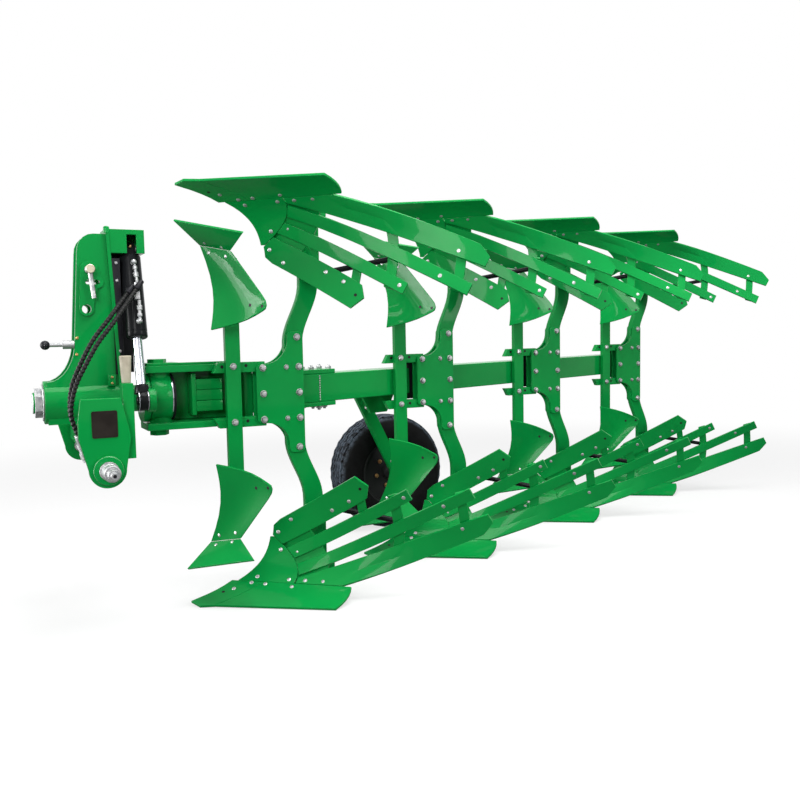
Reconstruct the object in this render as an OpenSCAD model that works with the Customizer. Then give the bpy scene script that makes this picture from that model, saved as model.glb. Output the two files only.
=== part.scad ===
// Four-furrow reversible plough with slatted mouldboards, standing on its lower bodies.
// Millimetres, +X forward, +Y left, +Z up; each module draws about the turnover axis.

/* [Stance] */
// height of the turnover axis over the floor
axis_h = 808; // [790:1:830]
// distance between neighbouring bodies along the beam
body_pitch = 928; // [900:1:960]
// angle of the beam to the line of travel
beam_angle = 19.54; // [18:0.01:21]
// rear bolt column of the first leg plate behind the lower link pins
first_x = -771; // [-790:1:-760]
// near face of the first leg plate left of the turnover axis
first_y = 128; // [120:1:135]

/* [Beam and head] */
// outside of the square beam tube
beam_w = 120; // [110:1:126]
// near face of the beam at the rear bolt column, from the leg plate face
beam_face_y = -122; // [-126:1:-120]
// front end of the beam, forward of the first rear bolt column
beam_lead = 172; // [168:1:176]
// rear end of the beam, behind the last rear bolt column
beam_tail = 60; // [40:1:120]
// thickness of the strap plates over and under the beam
strap_t = 18; // [12:1:24]
// strap plates run this far behind the first rear bolt column
strap_tail = 235; // [220:1:300]
// half height inside the head fork
fork_z = 95; // [90:1:100]
// thickness of the fork plates
fork_t = 26; // [20:1:30]
// front end of the fork
fork_front = -190; // [-196:1:-189]
// half width of the fork nose
fork_half_w = 74; // [70:1:80]
// where the fork plate reaches the width of the head box
fork_shoulder_x = -390; // [-420:1:-370]
// near edge of the fork plate there
fork_shoulder_y = 80; // [74:1:81]
// front of the head box
box_front = -304; // [-330:1:-304]
// wall of the head box seen from the open side
web_t = 16; // [10:1:24]
// vertical pivot of the head
pivot_x = -246; // [-250:1:-244]
// radius of the vertical pivot bolt
pivot_r = 22; // [18:1:26]
// across-corner radius of the pivot nuts
pivot_nut_r = 36; // [30:1:40]
// height of the pivot nuts
pivot_nut_h = 24; // [18:1:30]

/* [Turnover hub] */
// outside radius of the headstock hub tube
hub_r = 78; // [74:1:84]
// radius of the turnover axle
axle_r = 50; // [46:1:52]
// running clearance of the axle and of the rod
run_gap = 0.4; // [0.2:0.1:1]
// rear end of the hub tube
hub_rear = -100; // [-104:1:-90]
// front end of the hub tube
hub_front = 160; // [150:1:166]
// thickness of the thrust washer
washer_t = 6; // [4:1:10]
// radius of the thrust washer
washer_r = 66; // [62:1:72]
// across-corner radius of the axle nut
nut_r = 54; // [50:1:58]
// length of the axle nut
nut_l = 24; // [20:1:30]
// radius of the axle thread
thread_r = 38; // [34:1:42]
// thread standing out of the nut
thread_out = 7; // [4:1:12]
// rear hub behind the lug
rear_hub_r = 80; // [76:1:86]
// length of the rear hub
rear_hub_l = 90; // [84:1:92]
// radius of the pivot eye
eye_post_r = 50; // [46:1:52]

/* [Turnover cylinder] */
// fore and aft place of the cylinder
cyl_x = -162; // [-164:1:-160]
// height of the upper pin over the turnover axis
cyl_top_z = 556; // [550:1:562]
// radius of the lug pin about the turnover axis
lug_reach = 150; // [146:1:156]
// barrel radius
barrel_r = 33; // [30:1:35]
// upper pin to the barrel
barrel_from = 30; // [28:1:34]
// upper pin to the gland end of the barrel
barrel_to = 342; // [330:1:346]
// radius of the gland ring
gland_r = 35; // [33:1:36]
// length of the gland ring
gland_l = 30; // [20:1:40]
// rod radius
rod_r = 17.5; // [15:0.5:19]
// rod held inside the barrel
rod_inside = 108; // [95:1:112]
// radius of the upper eye
top_eye_r = 26; // [24:1:28]
// radius of the rod eye
rod_eye_r = 36; // [32:1:37]
// thickness of both eyes
eye_t = 34; // [30:1:36]
// radius of the eye pins
eye_pin_r = 15; // [12:1:17]
// seat between pieces that touch
seat = 0.3; // [0.2:0.1:0.5]
// thickness of the lug plate
lug_t = 25; // [20:1:25]
// radius of the lug ring about the axle
lug_ring_r = 92; // [86:1:96]
// radius of the lug end
lug_end_r = 42; // [38:1:46]
// port block on the barrel, length along it
port_l = 120; // [100:1:140]
// port block thickness
port_t = 24; // [18:1:30]
// start of the port block below the upper pin
port_from = 110; // [90:1:130]

/* [Headstock] */
// outer face of the mast plates from the centre
mast_y = 54; // [50:1:58]
// mast plate thickness
mast_t = 16; // [12:1:20]
// height of the mast over the turnover axis
mast_z = 604; // [595:1:612]
// rear edge of the mast at the axis
mast_rear_low = -98; // [-100:1:-94]
// rear edge of the mast at the top
mast_rear_top = -72; // [-76:1:-68]
// front edge of the mast over the flare
mast_front_low = 49; // [44:1:54]
// height where the flare to the hub begins
mast_flare_z = 226; // [200:1:250]
// front edge at the upper corner
mast_front_top = 28; // [22:1:32]
// height of the upper front corner
mast_corner_z = 538; // [530:1:546]
// front end of the mast top
mast_top_x = -30; // [-36:1:-24]
// front end of the mast foot
mast_foot_x = 150; // [140:1:158]
// height of the foot edge
mast_foot_z = 74; // [60:1:80]
// thickness of the doubler plates
doubler_t = 10; // [6:1:14]
// thickness of the rear rib plate
rib_t = 12; // [8:1:16]
// half width of the rib plate
rib_half_w = 66; // [60:1:72]
// height of the rib plate
rib_z = 622; // [612:1:630]
// radius of the top link pin
top_pin_r = 16; // [12:0.5:20]
// top link pin, fore and aft
top_pin_x = -10; // [-14:1:-6]
// top link pin over the axis
top_pin_z = 475; // [470:1:480]
// lower of the two top link holes
low_hole_z = 334; // [328:1:338]
// lower top link hole, fore and aft
low_hole_x = 4; // [0:1:8]
// top link pin standing out each side
top_pin_out = 34; // [20:1:40]
// length of the hanging pin handle
handle_l = 104; // [96:1:112]
// radius of the pin handle
handle_r = 8; // [6:1:10]
// height of the lock plunger over the axis
lock_z = 207; // [200:1:215]
// length of the lock plunger
lock_l = 96; // [80:1:110]
// radius of the lock sleeve
lock_sleeve_r = 15; // [12:1:18]
// radius of the lock rod
lock_rod_r = 7; // [5:1:9]
// radius of the lock knob
lock_knob_r = 16; // [12:1:18]

/* [Cylinder bracket] */
// rear face of the cylinder bracket
bracket_rear = -208; // [-212:1:-206]
// thickness of the bracket plates
bracket_t = 12; // [8:1:12]
// half width inside the bracket
bracket_half_w = 49; // [48:1:54]
// lowest edge of the bracket
bracket_low_z = 536; // [534:1:540]

/* [Lower hitch] */
// distance between the shoulders of the lower link pins
hitch_span = 825; // [815:1:835]
// lower link pins under the turnover axis
hitch_drop = 208; // [200:1:215]
// lower link pin radius
hitch_pin_r = 25.4; // [24:0.1:27]
// lower link pin length beyond the shoulder
hitch_pin_l = 66; // [60:1:80]
// radius of the outer step of the lower link pin
pin_step_r = 18.3; // [16:0.1:20]
// length of the outer step
pin_step_l = 34; // [24:1:44]
// radius of the pin shoulder
hitch_collar_r = 31; // [29:1:38]
// radius of the boss on the hitch plate
hitch_boss_r = 48; // [40:1:52]
// thickness of that boss
hitch_boss_t = 12; // [8:1:14]
// thickness of the pin shoulder
hitch_collar_t = 26; // [14:1:30]
// thickness of the hitch plates
hitch_t = 22; // [16:1:26]
// radius of the plate about the pin
hitch_foot_r = 60; // [54:1:64]
// square cross tube
cross_w = 100; // [90:1:104]
// rear face of the cross tube
cross_rear = -60; // [-62:1:-56]
// width of the stop posts
post_w = 60; // [40:1:70]
// depth of the stop posts
post_d = 36; // [28:1:40]
// top of the stop posts over the axis
post_z = 76; // [60:1:90]
// height of the buffer block
buffer_h = 92; // [70:1:100]
// radius of the buffer foot
buffer_r = 15; // [12:1:17]
// radius of the buffer top
buffer_top_r = 20; // [16:1:22]

/* [Legs] */
// leg plate thickness
leg_plate_t = 12; // [10:1:14]
// leg thickness
leg_t = 30; // [26:1:34]
// front edge of the leg plate
plate_front = 175; // [170:1:180]
// rear edge of the leg plate
plate_rear = -20; // [-24:1:-18]
// half height of the plate arms
plate_arm_z = 116; // [110:1:122]
// half height of the plate
plate_z = 240; // [232:1:248]
// front edge of the plate lobes
plate_lobe = 46; // [40:1:52]
// radius between arm and lobe
plate_fillet = 92; // [80:1:96]
// corner radius of the plate
plate_corner = 20; // [14:1:26]
// leg width
leg_w = 78; // [70:1:84]
// leg centre in the plates
leg_top_x = 16; // [12:1:20]
// leg centre at its foot
leg_foot_x = -55; // [-60:1:-50]
// where the leg starts to bend, under the axis
leg_bend_from = 190; // [180:1:200]
// where the leg bend ends, under the axis
leg_bend_to = 430; // [410:1:450]
// upper end of the leg, under the axis
leg_top_z = 40; // [30:1:50]
// height of the leg foot over the share plane
leg_foot_h = 300; // [296:1:304]
// half height of the leg brackets
leg_block_z = 60; // [50:1:70]

/* [Mouldboard] */
// landside face of the body, from the leg plate face
land_y = -45; // [-46:1:-44]
// reach of the face curve at the share
prof_reach = 462; // [440:1:480]
// height over which the face curve steepens
prof_decay = 73; // [68:1:78]
// face line over the share
prof_base = 95; // [90:1:100]
// forward lean of the upper face
prof_lean = 50; // [40:1:60]
// height of the full face
prof_span = 480; // [470:1:490]
// sweep of the face lines at the share, degrees
sweep_low = 34; // [33:0.5:36]
// added sweep at the top, degrees
sweep_gain = 8; // [6:0.5:10]
// thickness of slats, shin and share
board_t = 10; // [8:1:12]
// thickness of the carriers behind the slats
carrier_t = 10; // [8:1:12]
// height of the seam over share and point, at the landside edge
seam_from_h = 74; // [73:0.5:75]
// share end at the wing, lower
share_wing_low = 606; // [580:1:610]
// share end at the wing, upper
share_wing_high = 484; // [455:1:488]
// top height of the shin
shin_high_h = 232; // [226:1:234]

/* [Point and landside] */
// height of the point's tip over the share plane
tip_h = 20; // [18:1:22]
// landside corner of the tip along the face line
tip_s = -4; // [-8:1:0]
// length of the landside
land_l = 330; // [300:1:360]
// front end of the landside
land_front = 180; // [170:1:184]
// height of the landside
land_h = 110; // [90:1:120]
// thickness of the landside
land_t = 12; // [8:1:14]

/* [Skimmers] */
// shank centre forward of the rear bolt column
shank_x = 268; // [264:1:272]
// shank width
shank_w = 57; // [50:1:60]
// shank thickness
shank_t = 25; // [20:1:28]
// half length of the shank
shank_z = 520; // [505:1:525]
// skimmer plate thickness
skim_t = 8; // [6:1:10]
// height of the arms over the mid plane
arm_z = 106; // [102:1:110]
// height of each arm bar
arm_w = 40; // [30:1:46]

/* [Depth wheel] */
// tyre radius
tyre_r = 300; // [295:1:304]
// half width of the tyre
tyre_half_w = 92; // [80:1:98]
// bead radius
bead_r = 165; // [155:1:175]
// wheel centre behind the lower link pins
wheel_x = -1576; // [-1590:1:-1560]
// wheel centre right of the turnover axis
wheel_y = -752; // [-760:1:-750]
// arm pivot behind the lower link pins
arm_pivot_x = -1326; // [-1340:1:-1310]
// width of the wheel arm
wheel_arm_w = 60; // [50:1:70]
// thickness of the wheel arm
wheel_arm_t = 30; // [24:1:34]
// radius of the arm pivot tube
pivot_tube_r = 38; // [34:1:42]
// radius of the arm pivot shaft
pivot_shaft_r = 24; // [20:1:26]
// radius of the wheel spindle
spindle_r = 22; // [18:1:26]
// radius of the wheel hub
wheel_hub_r = 46; // [40:1:52]

/* [Hoses] */
// outside radius of the guarded hoses
hose_r = 10; // [8:0.5:10]
// length of the couplers on the hoses
coupler_l = 94; // [80:1:100]

/* [Hidden] */
$fn = 48;
over = 20;
fine_fn = 24;
hex_fn = 6;
body_count = 4;
step_x = body_pitch * cos(beam_angle);
step_y = body_pitch * sin(beam_angle);
beam_slope = tan(beam_angle);
beam_cross = beam_w / cos(beam_angle);
beam_mid_y = beam_face_y - beam_cross / 2;
blue_green = [0.03, 0.42, 0.12];
deep_green = [0.02, 0.33, 0.10];
zinc = [0.72, 0.72, 0.70];
black = [0.03, 0.03, 0.03];
cream = [0.85, 0.82, 0.70];
chrome = [0.85, 0.86, 0.88];

module place() translate([origin_x, origin_y, axis_h]) children();

module stations()
    for (i = [0:body_count - 1])
        translate([first_x - i * step_x, first_y - i * step_y, 0])
            children();

module both_ways() {
    children();
    mirror([0, 0, 1])
        children();
}

module both_sides() {
    children();
    mirror([0, 1, 0])
        children();
}

module plate_xz(y_from, y_to)
    translate([0, y_to, 0])
        rotate([90, 0, 0])
            linear_extrude(y_to - y_from)
                children();

module bar_x(x_from, x_to, r)
    translate([x_from, 0, 0])
        rotate([0, 90, 0])
            cylinder(h = x_to - x_from, r = r);

module bar_y(y_from, y_to, r)
    translate([0, y_to, 0])
        rotate([90, 0, 0])
            cylinder(h = y_to - y_from, r = r);

module link(p, q, r) {
    d = q - p;
    translate(p)
        rotate([0, acos(d[2] / norm(d)), atan2(d[1], d[0])])
            cylinder(h = norm(d), r = r);
}

// face of the mouldboard: s runs along the face line, h is the height over the share plane
probe = 1;
sweep_power = 1.5;
function line_x(h) = prof_base + prof_reach * exp(-h / prof_decay) + prof_lean * pow(h / prof_span, 2);
function sweep(h) = sweep_low + sweep_gain * pow(max(h, 0) / prof_span, sweep_power);
function face(s, h) = [line_x(h) - s * cos(sweep(h)), land_y + s * sin(sweep(h)), h - axis_h];
function face_up(s, h) = face(s, h + probe) - face(s, h - probe);
function face_along(s, h) = face(s + probe, h) - face(s - probe, h);
function face_n(s, h) = let (n = cross(face_along(s, h), face_up(s, h))) n / norm(n);
function under(s, h, d) = face(s, h) - d * face_n(s, h);
function blend4(c, u, v) = (1 - u) * (1 - v) * c[0] + u * (1 - v) * c[1] + (1 - u) * v * c[2]
    + u * v * c[3];

function grid_faces(nu, nv) = let (w = nu + 1, n = w * (nv + 1)) concat(
    [for (j = [0:nv - 1]) for (i = [0:nu - 1]) let (a = j * w + i) [a, a + w, a + w + 1]],
    [for (j = [0:nv - 1]) for (i = [0:nu - 1]) let (a = j * w + i) [a, a + w + 1, a + 1]],
    [for (j = [0:nv - 1]) for (i = [0:nu - 1]) let (a = n + j * w + i) [a, a + w + 1, a + w]],
    [for (j = [0:nv - 1]) for (i = [0:nu - 1]) let (a = n + j * w + i) [a, a + 1, a + w + 1]],
    [for (i = [0:nu - 1]) [i, i + 1, i + 1 + n]],
    [for (i = [0:nu - 1]) [i, i + 1 + n, i + n]],
    [for (i = [0:nu - 1]) let (a = nv * w + i) [a + 1, a, a + n]],
    [for (i = [0:nu - 1]) let (a = nv * w + i) [a + 1, a + n, a + 1 + n]],
    [for (j = [0:nv - 1]) let (a = j * w) [a + w, a, a + n]],
    [for (j = [0:nv - 1]) let (a = j * w) [a + w, a + n, a + w + n]],
    [for (j = [0:nv - 1]) let (a = j * w + nu) [a, a + w, a + w + n]],
    [for (j = [0:nv - 1]) let (a = j * w + nu) [a, a + w + n, a + n]]);

module sheet(uv, d_front, d_back, nu, nv)
    polyhedron(concat([for (q = uv) under(q[0], q[1], d_front)], [for (q = uv) under(q[0], q[1], d_back)]),
        grid_faces(nu, nv));

// a piece of the face between four corners
module patch(c, d_front, d_back, nu, nv)
    sheet([for (j = [0:nv]) for (i = [0:nu]) blend4(c, i / nu, j / nv)], d_front, d_back, nu, nv);

// a piece of the face between a lower and an upper line through marks
function along(p, t) = let (n = len(p) - 1, k = min(floor(t * n), n - 1)) p[k] + (p[k
    + 1] - p[k]) * (t * n - k);
function marks(steps) = concat([for (k = [0:len(steps) - 1]) for (i = [0:steps[k] - 1])
    (k + i / steps[k]) / len(steps)], [1]);
module strip(low, high, steps, rows, d_front, d_back) {
    ts = marks(steps);
    sheet([for (j = [0:rows]) for (t = ts) along(low, t) * (1 - j / rows) + along(high, t) * j / rows],
        d_front, d_back, len(ts) - 1, rows);
}

// line of the slat fronts on the face
joint_low_s = 243;
joint_low_h = 69;
joint_high_s = 10;
joint_high_h = 238;
joint_gap = 3;
function joint_s(h) = joint_low_s
    + (joint_high_s - joint_low_s) * (h - joint_low_h) / (joint_high_h - joint_low_h);
function on_joint(h) = [joint_s(h), h];

// seam between shin and share
seam_fall_share = 0.026;
seam_gap = 0.4;
function seam_h(s) = seam_from_h - seam_fall_share * s;
function on_seam(s) = [s, seam_h(s)];
function over_seam(s) = [s, seam_h(s) + seam_gap];

// slats as lower and upper edges, each a line through marks along and up the face
slat_end = [872, 342];
first_low = [[joint_high_s, joint_high_h], on_joint(203), [380, 378], [409, 396]];
first_high = [[12, 278], [40, 303], [379, 484], [426, 446]];
second_low = [on_joint(151), [589, 395]];
second_high = [on_joint(188), [574, 436]];
third_low = [on_joint(93), [834, 406]];
third_high = [on_joint(131), [820, 447]];
fourth_low = [[joint_low_s, joint_low_h], [440, 64], [835, 248], [853, 257]];
fourth_high = [on_joint(85), [400, 160], slat_end, [889, 308]];
slat_tip = under(slat_end[0], slat_end[1], board_t);
slat_side = face(slat_end[0], slat_end[1]);
beam_end = -(body_count - 1) * body_pitch - beam_tail;
rear_x = first_x - (body_count - 1) * step_x + slat_tip[0];
front_x = hub_front + washer_t + nut_l + thread_out;
left_y = first_y + slat_side[1];
right_y = first_y + beam_mid_y + beam_end * sin(beam_angle) - beam_w / 2 * cos(beam_angle);
origin_x = -(rear_x + front_x) / 2;
origin_y = -(left_y + right_y) / 2;

module slat_row(low, high, steps, rows)
    color(blue_green)
        place()
            stations()
                both_ways()
                    strip(low, high, steps, rows, 0, board_t);

module slats_first() slat_row(first_low, first_high, [1, 12, 1], 2);
module slats_second() slat_row(second_low, second_high, [12], 1);
module slats_third() slat_row(third_low, third_high, [12], 1);
module slats_fourth() slat_row(fourth_low, fourth_high, [5, 9, 1], 2);

module shins()
    color(deep_green)
        place()
            stations()
                both_ways()
                    patch([over_seam(0), over_seam(joint_low_s - joint_gap), [0, shin_high_h],
                        [joint_s(shin_high_h) - joint_gap, shin_high_h]], 0, board_t, 3, 10);

// the point beside the share: its front and rear edges run along the face
point_front = [[tip_s, tip_h], [78, 11], [128, 13]];
point_back = [on_seam(-24), on_seam(50), on_seam(106)];
point_gap = 0.6;
module points()
    color(deep_green)
        place()
            stations()
                both_ways()
                    strip(point_front, point_back, [3, 2], 4, 0, board_t);

share_tip_h = 11;
module shares()
    color(deep_green)
        place()
            stations()
                both_ways()
                    patch([point_front[2] + [point_gap, 0], [share_wing_low, share_tip_h],
                        point_back[2] + [point_gap, 0], on_seam(share_wing_high)], 0, board_t, 4, 5);

carrier_low_h = [80, 96];
carrier_high = [[14, 270], [130, 292]];
carrier_lap = [-46, 110];
carrier_seat = 0.8;
carrier_back = board_t + carrier_seat + carrier_t;
module carriers()
    color(deep_green)
        place()
            stations()
                both_ways()
                    patch([on_joint(carrier_low_h[0]) + [carrier_lap[0], 0],
                        on_joint(carrier_low_h[1]) + [carrier_lap[1], 0],
                        carrier_high[0], carrier_high[1]], board_t + carrier_seat, carrier_back, 2, 10);

bar_front = [[365, 300], [400, 312], [355, 440], [390, 452]];
bar_mid = [[505, 172], [545, 184], [492, 402], [532, 414]];
bar_rear = [[762, 238], [800, 250], [756, 418], [794, 430]];
module cross_bars()
    color(deep_green)
        place()
            stations()
                both_ways() {
                    patch(bar_front, board_t + carrier_seat, carrier_back, 1, 5);
                    patch(bar_mid, board_t + carrier_seat, carrier_back, 1, 10);
                    patch(bar_rear, board_t + carrier_seat, carrier_back, 1, 6);
                }

stay_r = 11;
stay_ball_r = 16;
stay_s = 520;
stay_h = 290;
stay_leg_h = 350;
module stays()
    color(black)
        place()
            stations()
                both_ways() {
                    p = [leg_foot_x, -leg_plate_t + stay_ball_r + seat, stay_leg_h - axis_h];
                    q = under(stay_s, stay_h, carrier_back + stay_ball_r + seat);
                    link(p, q, stay_r);
                    translate(p)
                        sphere(stay_ball_r, $fn = fine_fn);
                    translate(q)
                        sphere(stay_ball_r, $fn = fine_fn);
                }

// body support: its front follows the back of point, shin and carrier, its rear edge is upright
frog_low_h = 4;
frog_toe_h = 24;
frog_join_h = 168;
frog_step_h = 176;
frog_toe_rows = 14;
frog_rows = 6;
frog_rear_x = -104;
function frog_depth(h) = h > frog_join_h ? carrier_back + 2 * seat : board_t + 2 * seat;
function frog_s(y, h) = (y - land_y + frog_depth(h) * face_n(0, h)[1]) / sin(sweep(h));
function frog_face(y, h) = under(frog_s(y, h), h, frog_depth(h));
function frog_row(y, h) = h < frog_toe_h ? [frog_face(y, frog_toe_h)[0], y, h - axis_h]
    : [frog_face(y, h)[0], y, frog_face(y, h)[2]];
frog_heights = concat([frog_low_h],
    [for (i = [0:frog_toe_rows]) frog_toe_h + (frog_join_h - frog_toe_h) * i / frog_toe_rows],
    [for (i = [0:frog_rows]) frog_step_h + (leg_foot_h - frog_step_h) * i / frog_rows]);
frog_y = [-leg_plate_t - leg_t, -leg_plate_t];
function frog_top(y, h) = h == leg_foot_h ? [frog_row(y, h)[0], y, leg_foot_h - axis_h] : frog_row(y, h);
module frogs()
    color(deep_green)
        place()
            stations()
                both_ways() {
                    n = len(frog_heights);
                    far = [for (h = frog_heights) frog_top(frog_y[0], h)];
                    near = [for (h = frog_heights) frog_top(frog_y[1], h)];
                    back_far = [for (p = far) [frog_rear_x, frog_y[0], p[2]]];
                    back_near = [for (p = near) [frog_rear_x, frog_y[1], p[2]]];
                    polyhedron(concat(far, near, back_near, back_far), concat(
                        [for (i = [0:n - 2]) for (k = [0:3]) let (a = k * n + i, b = ((k + 1) % 4) * n + i)
                            [a, a + 1, b + 1]],
                        [for (i = [0:n - 2]) for (k = [0:3]) let (a = k * n + i, b = ((k + 1) % 4) * n + i)
                            [a, b + 1, b]],
                        [[0, n, 2 * n], [0, 2 * n, 3 * n]],
                        [[n - 1, 4 * n - 1, 3 * n - 1], [n - 1, 3 * n - 1, 2 * n - 1]]));
                }

module landsides()
    color(deep_green)
        place()
            stations()
                both_ways()
                    plate_xz(-leg_plate_t - leg_t - land_t, -leg_plate_t - leg_t)
                        polygon([[land_front, -axis_h], [land_front, land_h / 2 - axis_h],
                            [land_front - land_h, land_h - axis_h], [land_front - land_l, land_h - axis_h],
                            [land_front - land_l, -axis_h]]);

leg_steps = 20;
function leg_share(d) = d < leg_bend_from ? 0 : d > leg_bend_to ? 1
    : (1 - cos(180 * (d - leg_bend_from) / (leg_bend_to - leg_bend_from))) / 2;
function leg_x(d) = leg_top_x + (leg_foot_x - leg_top_x) * leg_share(d);
leg_depths = [for (i = [0:leg_steps]) leg_top_z + (axis_h - leg_foot_h - leg_top_z) * i / leg_steps];
module legs()
    color(blue_green)
        place()
            stations()
                both_ways()
                    plate_xz(-leg_plate_t - leg_t, -leg_plate_t)
                        polygon(concat([for (d = leg_depths) [leg_x(d) + leg_w / 2, -d]],
                            [for (i = [leg_steps:-1:0]) [leg_x(leg_depths[i]) - leg_w / 2,
                                -leg_depths[i]]]));

module leg_plate_shape() {
    translate([plate_rear, -plate_arm_z])
        square([plate_front - plate_rear - plate_corner, 2 * plate_arm_z]);
    translate([plate_rear, -plate_arm_z + plate_corner])
        square([plate_front - plate_rear, 2 * (plate_arm_z - plate_corner)]);
    for (m = [0, 1])
        mirror([0, m]) {
            translate([plate_front - plate_corner, plate_arm_z - plate_corner])
                circle(plate_corner);
            translate([plate_rear, 0])
                square([plate_lobe - plate_rear, plate_z - plate_corner]);
            translate([plate_rear + plate_corner, 0])
                square([plate_lobe - plate_rear - 2 * plate_corner, plate_z]);
            translate([plate_rear + plate_corner, plate_z - plate_corner])
                circle(plate_corner);
            translate([plate_lobe - plate_corner, plate_z - plate_corner])
                circle(plate_corner);
            difference() {
                translate([plate_rear, 0])
                    square([plate_lobe + plate_fillet - plate_rear, plate_arm_z + plate_fillet]);
                translate([plate_lobe + plate_fillet, plate_arm_z + plate_fillet])
                    circle(plate_fillet);
                translate([plate_front, 0])
                    square([over, plate_z]);
            }
        }
}

module leg_plates()
    color(blue_green)
        place()
            stations() {
                plate_xz(-leg_plate_t, 0)
                    leg_plate_shape();
                plate_xz(-2 * leg_plate_t - leg_t, -leg_plate_t - leg_t)
                    leg_plate_shape();
            }

block_margin = 12;
module leg_brackets()
    color(blue_green)
        place()
            stations()
                translate([0, 0, -leg_block_z])
                    linear_extrude(2 * leg_block_z) {
                        y_plate = -2 * leg_plate_t - leg_t;
                        x_rear = plate_rear + block_margin;
                        x_front = plate_front - block_margin;
                        polygon([[x_rear, y_plate], [x_front, y_plate],
                            [x_front, beam_face_y + seat + x_front * beam_slope],
                            [x_rear, beam_face_y + seat + x_rear * beam_slope]]);
                    }

arm_nose = [24, 46];
module skimmer_arms()
    color(blue_green)
        place()
            stations()
                both_ways()
                    plate_xz(-leg_plate_t - leg_t, -leg_plate_t) {
                        nose = shank_x + shank_w / 2;
                        polygon([[plate_front - arm_w, arm_z - arm_w / 2], [nose + arm_nose[1],
                            arm_z - arm_w / 2],
                            [nose + arm_nose[0], arm_z + arm_w / 2], [plate_front - arm_w, arm_z
                                + arm_w / 2]]);
                    }

// skimmer plates between four corners, with a hollow face
skim_top = [[362, 60, -251], [190, 243, -326]];
skim_mid = [[360, -62, -570], [282, 74, -540]];
skim_low = [[461, -40, -657], [274, 213, -590]];
skim_hollow = 26;
skim_steps = 5;
skim_rows = 9;
skim_bow = 38;
skim_round_from = 0.8;
skim_round_share = 0.14;
function skim_width(v) = 1 - skim_round_share
    * (1 - sqrt(1 - pow(max(v - skim_round_from, 0) / (1 - skim_round_from), 2)));
function skim_point(c, u, v, bow) = blend4(c, u * skim_width(v * sign(bow)), v)
    + (c[1] - c[0]) / norm(c[1] - c[0]) * bow * sin(180 * v) * (1 - u);
function skim_normal(c) = let (n = cross(c[1] - c[0], c[2] - c[0])) n / norm(n);
function skim_at(c, u, v, d, hollow, bow) = skim_point(c, u, v, bow)
    - skim_normal(c) * (d + hollow * sin(180 * u) * sin(90 * v));
module skim_plate(c, d_front, d_back, hollow, bow, nu, nv) {
    pts = [for (d = [d_front, d_back]) for (j = [0:nv]) for (i = [0:nu])
        skim_at(c, i / nu, bow > 0 ? sin(90 * j / nv) : j / nv, d, hollow, bow)];
    polyhedron(pts, grid_faces(nu, nv));
}
board_corners = [skim_mid[0], skim_mid[1], skim_top[0], skim_top[1]];
skim_share_corners = [skim_low[0], skim_low[1], skim_mid[0], skim_mid[1]];

module skimmer_boards()
    color(blue_green)
        place()
            stations()
                both_ways()
                    skim_plate(board_corners, 0, skim_t, skim_hollow, skim_bow, skim_steps, skim_rows);

module skimmer_shares()
    color(deep_green)
        place()
            stations()
                both_ways()
                    skim_plate(skim_share_corners, 0, skim_t, 0, 0, 2, 2);

pad_u = [0.26, 0.6];
pad_v = [0.06, 0.34];
pad_depth = 62;
function pad_at(i, j, d) = skim_at(board_corners, pad_u[0] + (pad_u[1] - pad_u[0]) * i,
    pad_v[0] + (pad_v[1] - pad_v[0]) * j, d, skim_hollow, skim_bow);
pad_steps = 3;
pad_seat = 0.9;
module skimmer_pad() {
    pts = [for (d = [skim_t + pad_seat, pad_depth]) for (j = [0:pad_steps]) for (i = [0:pad_steps])
        pad_at(i / pad_steps, j / pad_steps, d)];
    polyhedron(pts, grid_faces(pad_steps, pad_steps));
}

module skimmer_shanks()
    color(blue_green)
        place()
            stations() {
                translate([shank_x - shank_w / 2, -leg_plate_t, -shank_z])
                    cube([shank_w, shank_t, 2 * shank_z]);
                both_ways()
                    skimmer_pad();
            }

module beam_box(x_from, x_to, z_half, w_half)
    translate([first_x, first_y + beam_mid_y, 0])
        rotate([0, 0, beam_angle])
            translate([x_from, -w_half, -z_half])
                cube([x_to - x_from, 2 * w_half, 2 * z_half]);

beam_start = beam_lead / cos(beam_angle);
beam_wall = 8;
module beam()
    color(blue_green)
        place()
            difference() {
                beam_box(beam_end, beam_start + beam_w, beam_w / 2, beam_w / 2);
                beam_box(beam_end - over, beam_start + 2 * beam_w, beam_w / 2 - beam_wall,
                    beam_w / 2 - beam_wall);
                ahead_of_beam();
            }

module ahead_of_beam()
    translate([head_rear, -body_pitch / 2, -axis_h])
        cube([body_pitch, body_pitch, 2 * axis_h]);

module strap_plates()
    color(blue_green)
        place()
            both_ways()
                difference() {
                    beam_box(-strap_tail, beam_start + beam_w, beam_w / 2 + strap_t, beam_w / 2);
                    translate([0, 0, -over * over])
                        beam_box(-strap_tail - over, beam_start + 2 * beam_w, beam_w / 2 + over * over,
                            beam_w);
                    ahead_of_beam();
                }

function head_y(x) = first_y + beam_mid_y + (x - first_x) * beam_slope;
box_half_w = beam_cross / 2;
head_rear = first_x + beam_lead;
module fork_shape()
    polygon([[fork_front, -fork_half_w], [fork_front, fork_half_w],
        [fork_shoulder_x, fork_shoulder_y], [head_rear, head_y(head_rear) + box_half_w],
        [head_rear, head_y(head_rear) - box_half_w]]);

module fork_plates()
    color(blue_green)
        place()
            both_ways()
                difference() {
                    translate([0, 0, fork_z])
                        linear_extrude(fork_t)
                            fork_shape();
                    translate([pivot_x, 0, 0])
                        cylinder(h = fork_z + fork_t + over, r = pivot_r + seat);
                }

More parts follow.
